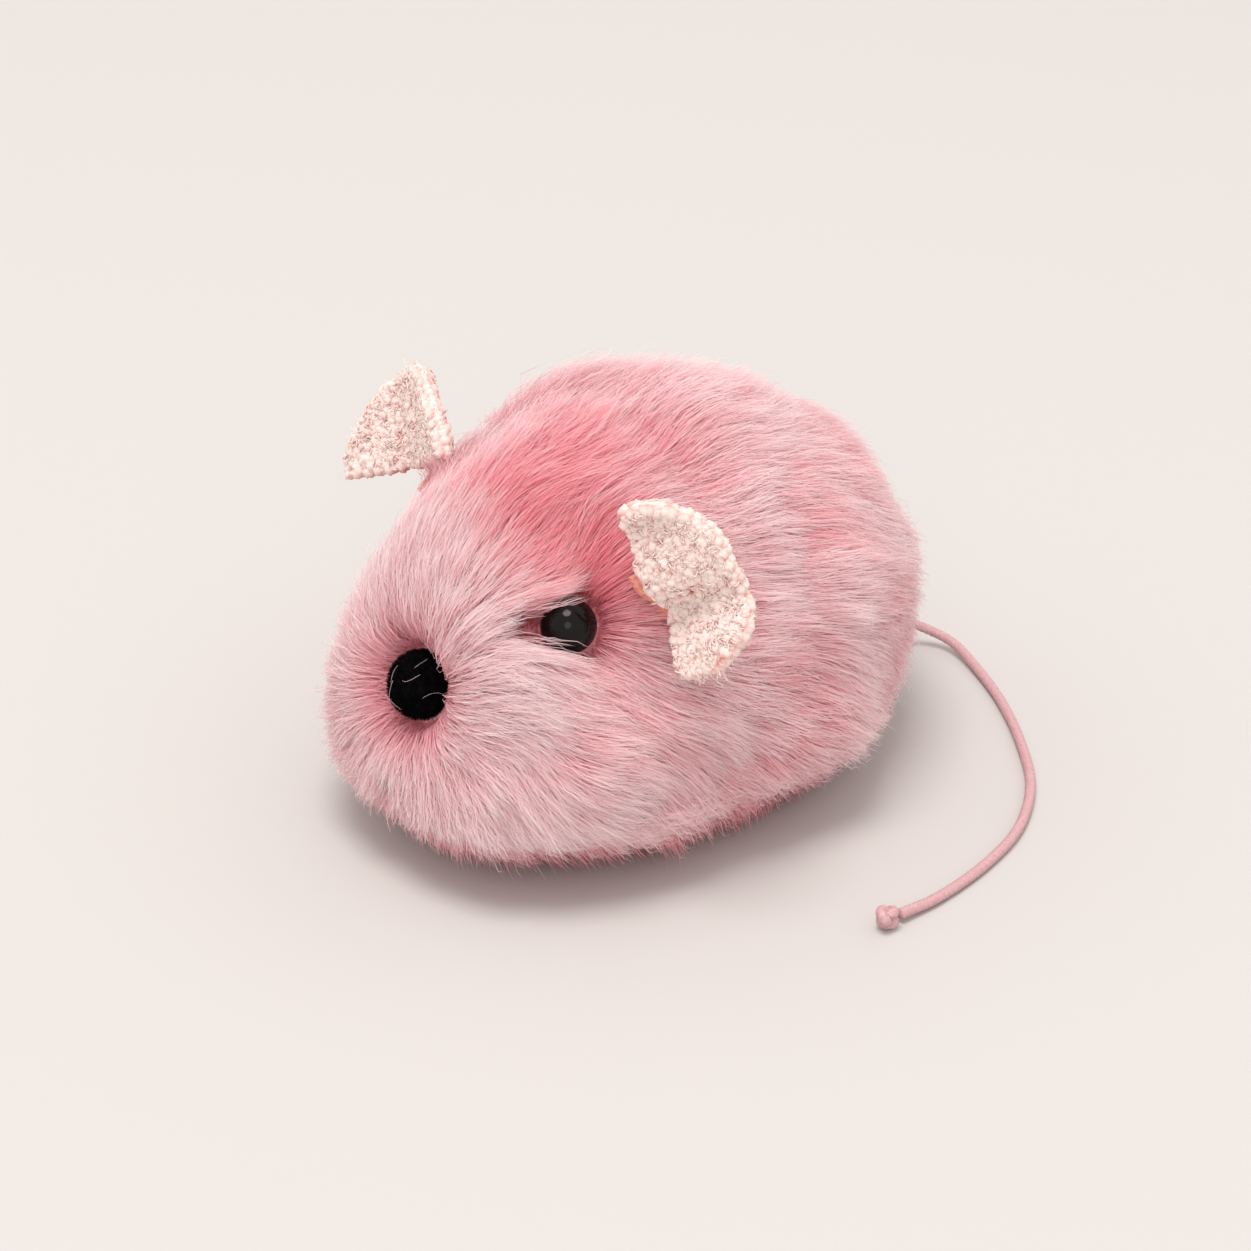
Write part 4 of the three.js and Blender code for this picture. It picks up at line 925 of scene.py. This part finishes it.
def loop_finish():
    finish = Finish("looped_yarn", Roughness=0.85)
    finish.shader.inputs["Specular IOR Level"].default_value = 0.2
    finish.shader.inputs["Sheen Weight"].default_value = 0.3
    height, tone = finish.attribute("height"), finish.attribute("tone")
    # Painted shade: the yarn is a deeper orange pink low on each loop and puff and cream at its top, for the
    # shade in the hollows between them.
    low = finish.ramp(height, (0.3, colour(248, 168, 156)), (0.85, colour(253, 228, 221)))
    high = finish.ramp(height, (0.3, colour(251, 188, 176)), (0.85, colour(255, 239, 233)))
    tint = finish.mix(tone, low, high)
    finish.feed("Base Color", tint)
    finish.let_light_through(tint, 0.12)
    return finish


def grid_faces(rows, columns):
    corner = (np.arange(rows - 1)[:, None] * columns + np.arange(columns - 1)[None]).ravel()
    return np.stack([corner, corner + 1, corner + columns + 1, corner + columns], -1)


def add_ear(side, frame_here, seam_frame, yarn, ground, seed):
    """One ear of looped cloth, with the strip that is sewn into the head under it."""
    own = np.random.default_rng(seed)
    share, turn = np.meshgrid(np.linspace(0, 1, EAR_ROWS), np.linspace(0, math.pi, EAR_COLUMNS),
                              indexing="ij")
    local = ear_points(side, share, turn)
    cloth = mesh_of(f"ear_cloth_{side}", ear_to_world(frame_here, local).reshape(-1, 3),
                    [grid_faces(EAR_ROWS, EAR_COLUMNS)])
    shape = bmesh.new()
    shape.from_mesh(cloth.data)
    bmesh.ops.remove_doubles(shape, verts=shape.verts, dist=0.01 * MM)
    shape.to_mesh(cloth.data)
    shape.free()
    solid = cloth.modifiers.new("thickness", "SOLIDIFY")
    solid.thickness, solid.offset = EAR_CLOTH * MM, 0
    wear(cloth, ground)

    def scattered(counts, off):
        """Places over both faces of the cloth and along its rim, and the ways out there."""
        spread = np.sqrt(own.uniform(0, 1, counts["each_face"]))
        around = own.uniform(0, math.pi, counts["each_face"])
        here = ear_points(side, spread, around)
        normal = unit(np.cross(ear_points(side, spread - 1e-3, around) - here,
                               ear_points(side, spread, around + 1e-3) - here))
        normal *= np.sign(normal[:, 2:])
        edge = ear_points(side, np.ones(counts["rim"]), own.uniform(0, math.pi, counts["rim"]))
        edge_way = unit(edge * np.array([1, 1, 0]) + own.normal(0, 2.5, edge.shape))
        places = np.vstack([here + off * normal, here - off * normal, edge])
        ways = np.vstack([normal, -normal, edge_way]) @ np.stack(frame_here[1:])
        return ear_to_world(frame_here, places), ways

    loops = loops_mesh(f"ear_loops_{side}", *scattered(LOOPS, 0.85), own)
    tufts = tufts_mesh(f"ear_tufts_{side}", *scattered(TUFTS, 0.6), own)
    wear(loops, yarn)
    wear(tufts, yarn)

    out, across = np.meshgrid(np.linspace(-7.8, -2.2, SEAM_ROWS), np.linspace(-3.4, 3.4, SEAM_COLUMNS),
                              indexing="ij")
    local = np.stack([out, across, ear_depth(side, 0 * across, across) * smooth(out, -6, 0)], -1)
    seam = mesh_of(f"ear_seam_{side}", ear_to_world(seam_frame, local).reshape(-1, 3),
                   [grid_faces(SEAM_ROWS, SEAM_COLUMNS)])
    solid = seam.modifiers.new("thickness", "SOLIDIFY")
    solid.thickness, solid.offset = EAR_SEAM_CLOTH * MM, 0
    wear(seam, ground)

    threads = []
    for _ in range(EAR_THREADS):
        at = own.uniform(2.35, 3.05) if side == "left" else own.uniform(0.1, 3.0)
        start = ear_points(side, 0.97, np.array(at))
        way = unit(start * np.array([1, 1, 0]) + own.normal(0, 4.0, 3))
        bend = own.normal(0, 0.5, 3)
        t = np.linspace(0, 1, 7)[:, None]
        threads.append(start + way * t * own.uniform(1.0, 2.6) + bend * t**2)
    parts = [tube_parts(ear_to_world(frame_here, thread), 0.07, 5) for thread in threads]
    points = np.vstack([part[0] for part in parts])
    offsets = np.cumsum([0] + [len(part[0]) for part in parts[:-1]])
    loose = mesh_of(f"ear_threads_{side}", points,
                    [np.vstack([part[k] + o for part, o in zip(parts, offsets)]) for k in (1, 2)])
    point_values(loose, "height", np.full(len(points), 0.8))
    point_values(loose, "tone", np.full(len(points), 0.7))
    wear(loose, yarn)

    for piece in (cloth, loops, tufts, seam, loose):
        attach(piece, "body")
    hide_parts(f"ear_{side}")
    across, out = ear_outline(side, np.linspace(0, math.pi, 200))


def add_ears():
    yarn = loop_finish()
    ground = Finish("ear_ground_cloth", Roughness=0.9)
    weave = ground.noise(ground.place(), 1700, 3)
    ground.feed("Base Color", ground.ramp(weave, (0.3, colour(214, 120, 104)), (0.7, colour(240, 170, 156))))
    ground.bump(weave, 0.0002, 0.6)
    for number, side in enumerate(("left", "right")):
        place, _, _, out = EAR_PLACES[number]
        add_ear(side, EARS[number], ear_frame(place, out), yarn, ground, 41 + number)


add_ears()
# ------------------------------------------------------------------ finishes of the hard pieces


def rubbed_effect():
    """Moulded plastic's fine even grain, and rubbed patches that shine a little more."""
    effect = Effect("rubbed_plastic",
                    {"Place": "Vector", "Low": "Color", "High": "Color", "Dullness": "Float"},
                    {"Tint": "Color", "Dullness": "Float", "Grain": "Float"})
    place, low, high, dullness = (effect.given[name] for name in ("Place", "Low", "High", "Dullness"))
    rubbed = effect.share_between(effect.noise(place, 90, 4, 0.6), 0.3, 0.7)
    effect.link(effect.mix(rubbed, low, high), effect.result["Tint"])
    shine = effect.maths("MULTIPLY_ADD", rubbed, -0.2, 1.0)
    effect.link(effect.maths("MULTIPLY", dullness, shine), effect.result["Dullness"])
    effect.link(effect.noise(place, 5200, 2), effect.result["Grain"])
    return effect


def drawn_effect():
    """Rolled or turned metal's fine lines one way, with a little tarnish and uneven shine."""
    effect = Effect("drawn_metal",
                    {"Place": "Vector", "Line Place": "Vector", "Low": "Color", "High": "Color",
                     "Dullness": "Float"},
                    {"Tint": "Color", "Dullness": "Float", "Lines": "Float"})
    low, high, dullness = (effect.given[name] for name in ("Low", "High", "Dullness"))
    lines = effect.noise(effect.given["Line Place"], 1500, 4, 0.6)
    stains = effect.noise(effect.given["Place"], 140, 4, 0.65)
    stained = effect.mix(effect.share_between(stains, 0.3, 0.65), low, high)
    lined = effect.mix(effect.share_between(lines, 0.3, 0.7), low, high)
    effect.link(effect.mix(0.35, stained, lined), effect.result["Tint"])
    least, more = effect.maths("MULTIPLY", dullness, 0.75), effect.maths("MULTIPLY", dullness, 0.55)
    uneven = effect.maths("MULTIPLY_ADD", effect.share_between(lines, 0.25, 0.75), more, least)
    effect.link(uneven, effect.result["Dullness"])
    effect.link(lines, effect.result["Lines"])
    return effect


def dress_hard_pieces():
    rubbed, drawn = rubbed_effect(), drawn_effect()

    def moulded(name, low, high, dullness, grain=0.00003, gloss=0.4):
        finish = Finish(name)
        finish.shader.inputs["Specular IOR Level"].default_value = gloss
        result = finish.effect(rubbed, Place=finish.place(), Low=colour(*low), High=colour(*high),
                               Dullness=dullness)
        finish.feed("Base Color", result["Tint"])
        finish.feed("Roughness", result["Dullness"])
        finish.bump(result["Grain"], grain, 0.5)
        return finish

    def metal(name, low, high, dullness, stretch):
        finish = Finish(name, Metallic=1.0)
        result = finish.effect(drawn, Place=finish.place(), Line_Place=finish.place(scale=stretch),
                               Low=colour(*low), High=colour(*high), Dullness=dullness)
        finish.feed("Base Color", result["Tint"])
        finish.feed("Roughness", result["Dullness"])
        finish.bump(result["Lines"], 0.000012, 0.4)
        return finish

    finishes = {
        "body_plastic": moulded("shell_plastic", (226, 158, 168), (234, 170, 178), 0.55),
        "base_plastic": moulded("base_plastic", (206, 120, 134), (216, 132, 145), 0.5, grain=0.00005),
        "knob_plastic": moulded("knob_plastic", (226, 92, 116), (234, 104, 126), 0.26, grain=0.00001,
                                gloss=0.5),
        "washer_plastic": moulded("washer_plastic", (236, 234, 228), (244, 242, 237), 0.45),
        "hub_plastic": moulded("hub_plastic", (54, 55, 58), (66, 67, 70), 0.42),
        "tyre_rubber": moulded("tyre_rubber", (30, 30, 31), (46, 45, 45), 0.82, grain=0.00008, gloss=0.25),
        "steel": metal("zinc_plated_steel", (168, 170, 174), (206, 208, 211), 0.3, stretch=(1, 1, 12)),
        "spring_steel": metal("blued_spring_steel", (96, 100, 112), (140, 144, 154), 0.28,
                              stretch=(10, 1, 1)),
        "brass": metal("clock_brass", (190, 150, 78), (226, 192, 116), 0.25, stretch=(12, 1, 1)),
    }
    for subpart in frame["record"]["subparts"]:
        if subpart["material_slot"] in finishes:
            wear(NODES[subpart["node"]], finishes[subpart["material_slot"]])


dress_hard_pieces()


# ------------------------------------------------------------------ eyes and nose

EYE_STEM, NOSE_STEM = (0.6, 4.8), (0.7, 4.8)  # radius and length
NOSE_FLATNESS = 0.97
FLOCK_DEPTH = 0.2
FLOCK_HAIRS, FLOCK_WIDTH = 9000, 0.07
LINT_FIBRES, LINT_RADIUS = 9, 0.018


def ball_piece(name, place, out, radius, flatten=1.0, stem=None):
    """A round bead on a stem, with its own axis along out."""
    shape = bmesh.new()
    bmesh.ops.create_uvsphere(shape, u_segments=56, v_segments=32, radius=radius)
    bmesh.ops.scale(shape, vec=(1, 1, flatten), verts=shape.verts)
    if stem:
        post = bmesh.ops.create_cone(shape, cap_ends=True, segments=24, radius1=stem[0], radius2=stem[0],
                                     depth=stem[1])
        bmesh.ops.translate(shape, vec=(0, 0, -radius * flatten * 0.9 - stem[1] / 2), verts=post["verts"])
    turn = Vector(out).to_track_quat("Z", "Y").to_matrix().to_4x4()
    bmesh.ops.transform(shape, matrix=Matrix.Scale(MM, 4) @ Matrix.Translation(Vector(place)) @ turn,
                        verts=shape.verts)
    mesh = bpy.data.meshes.new(name)
    shape.to_mesh(mesh)
    shape.free()
    mesh.polygons.foreach_set("use_smooth", [True] * len(mesh.polygons))
    piece = bpy.data.objects.new(name, mesh)
    bpy.context.scene.collection.objects.link(piece)
    return piece


def add_eyes():
    finish = Finish("polished_bead", Base_Color=(*colour(14, 10, 10), 1), Roughness=0.1)
    finish.shader.inputs["Specular IOR Level"].default_value = 0.2
    for side, centre, frame_here in zip(("left", "right"), EYE_CENTRES, EYES):
        bead = ball_piece(f"eye_bead_{side}", centre, frame_here[3], EYE_RADIUS, 1, EYE_STEM)
        wear(bead, finish)
        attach(bead, "body")
        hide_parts(f"eye_{side}")


def add_nose():
    finish = Finish("black_flock", Roughness=0.95)
    finish.shader.inputs["Specular IOR Level"].default_value = 0.06
    place = finish.place()
    finish.feed("Base Color", finish.ramp(finish.noise(place, 900, 3), (0.4, colour(2, 2, 2)),
                                          (0.8, colour(14, 12, 13))))
    core = ball_piece("nose_button", NOSE_CENTRE, NOSE[3], NOSE_RADIUS - FLOCK_DEPTH, NOSE_FLATNESS,
                      NOSE_STEM)
    wear(core, finish)
    own = np.random.default_rng(21)
    ways = unit(own.normal(size=(FLOCK_HAIRS, 3)))
    lean = unit(ways + 0.35 * own.normal(size=(FLOCK_HAIRS, 3)))
    roots = NOSE_CENTRE + ways * (NOSE_RADIUS - 0.35)
    across = unit(np.cross(lean, own.normal(size=(FLOCK_HAIRS, 3)))) * FLOCK_WIDTH / 2
    tips = roots + lean * own.uniform(0.35, 0.62, (FLOCK_HAIRS, 1))
    points = np.stack([roots - across, roots + across, tips + across * 0.7, tips - across * 0.7], 1)
    flock = mesh_of("nose_flock", points.reshape(-1, 3), [np.arange(FLOCK_HAIRS * 4).reshape(-1, 4)])
    wear(flock, finish)
    lint = []
    for _ in range(LINT_FIBRES):
        way = unit(NOSE[3] + 0.75 * own.normal(size=3))
        side = unit(np.cross(way, own.normal(size=3)))
        t = np.linspace(-1, 1, 7)[:, None]
        bend = NOSE_RADIUS + 0.1 + own.uniform(0, 0.5)
        lint.append(NOSE_CENTRE + bend * unit(way + side * t * own.uniform(0.15, 0.42)
                                              + 0.08 * t**2 * own.normal(size=3)))
    parts = [tube_parts(thread, LINT_RADIUS, 4) for thread in lint]
    points = np.vstack([part[0] for part in parts])
    offsets = np.cumsum([0] + [len(part[0]) for part in parts[:-1]])
    fluff = mesh_of("nose_lint", points,
                    [np.vstack([part[k] + o for part, o in zip(parts, offsets)]) for k in (1, 2)])
    wear(fluff, Finish("lint", Base_Color=(*colour(236, 214, 210), 1), Roughness=0.8))
    for piece in (core, flock, fluff):
        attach(piece, "body")
    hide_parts("nose")


add_eyes()
add_nose()
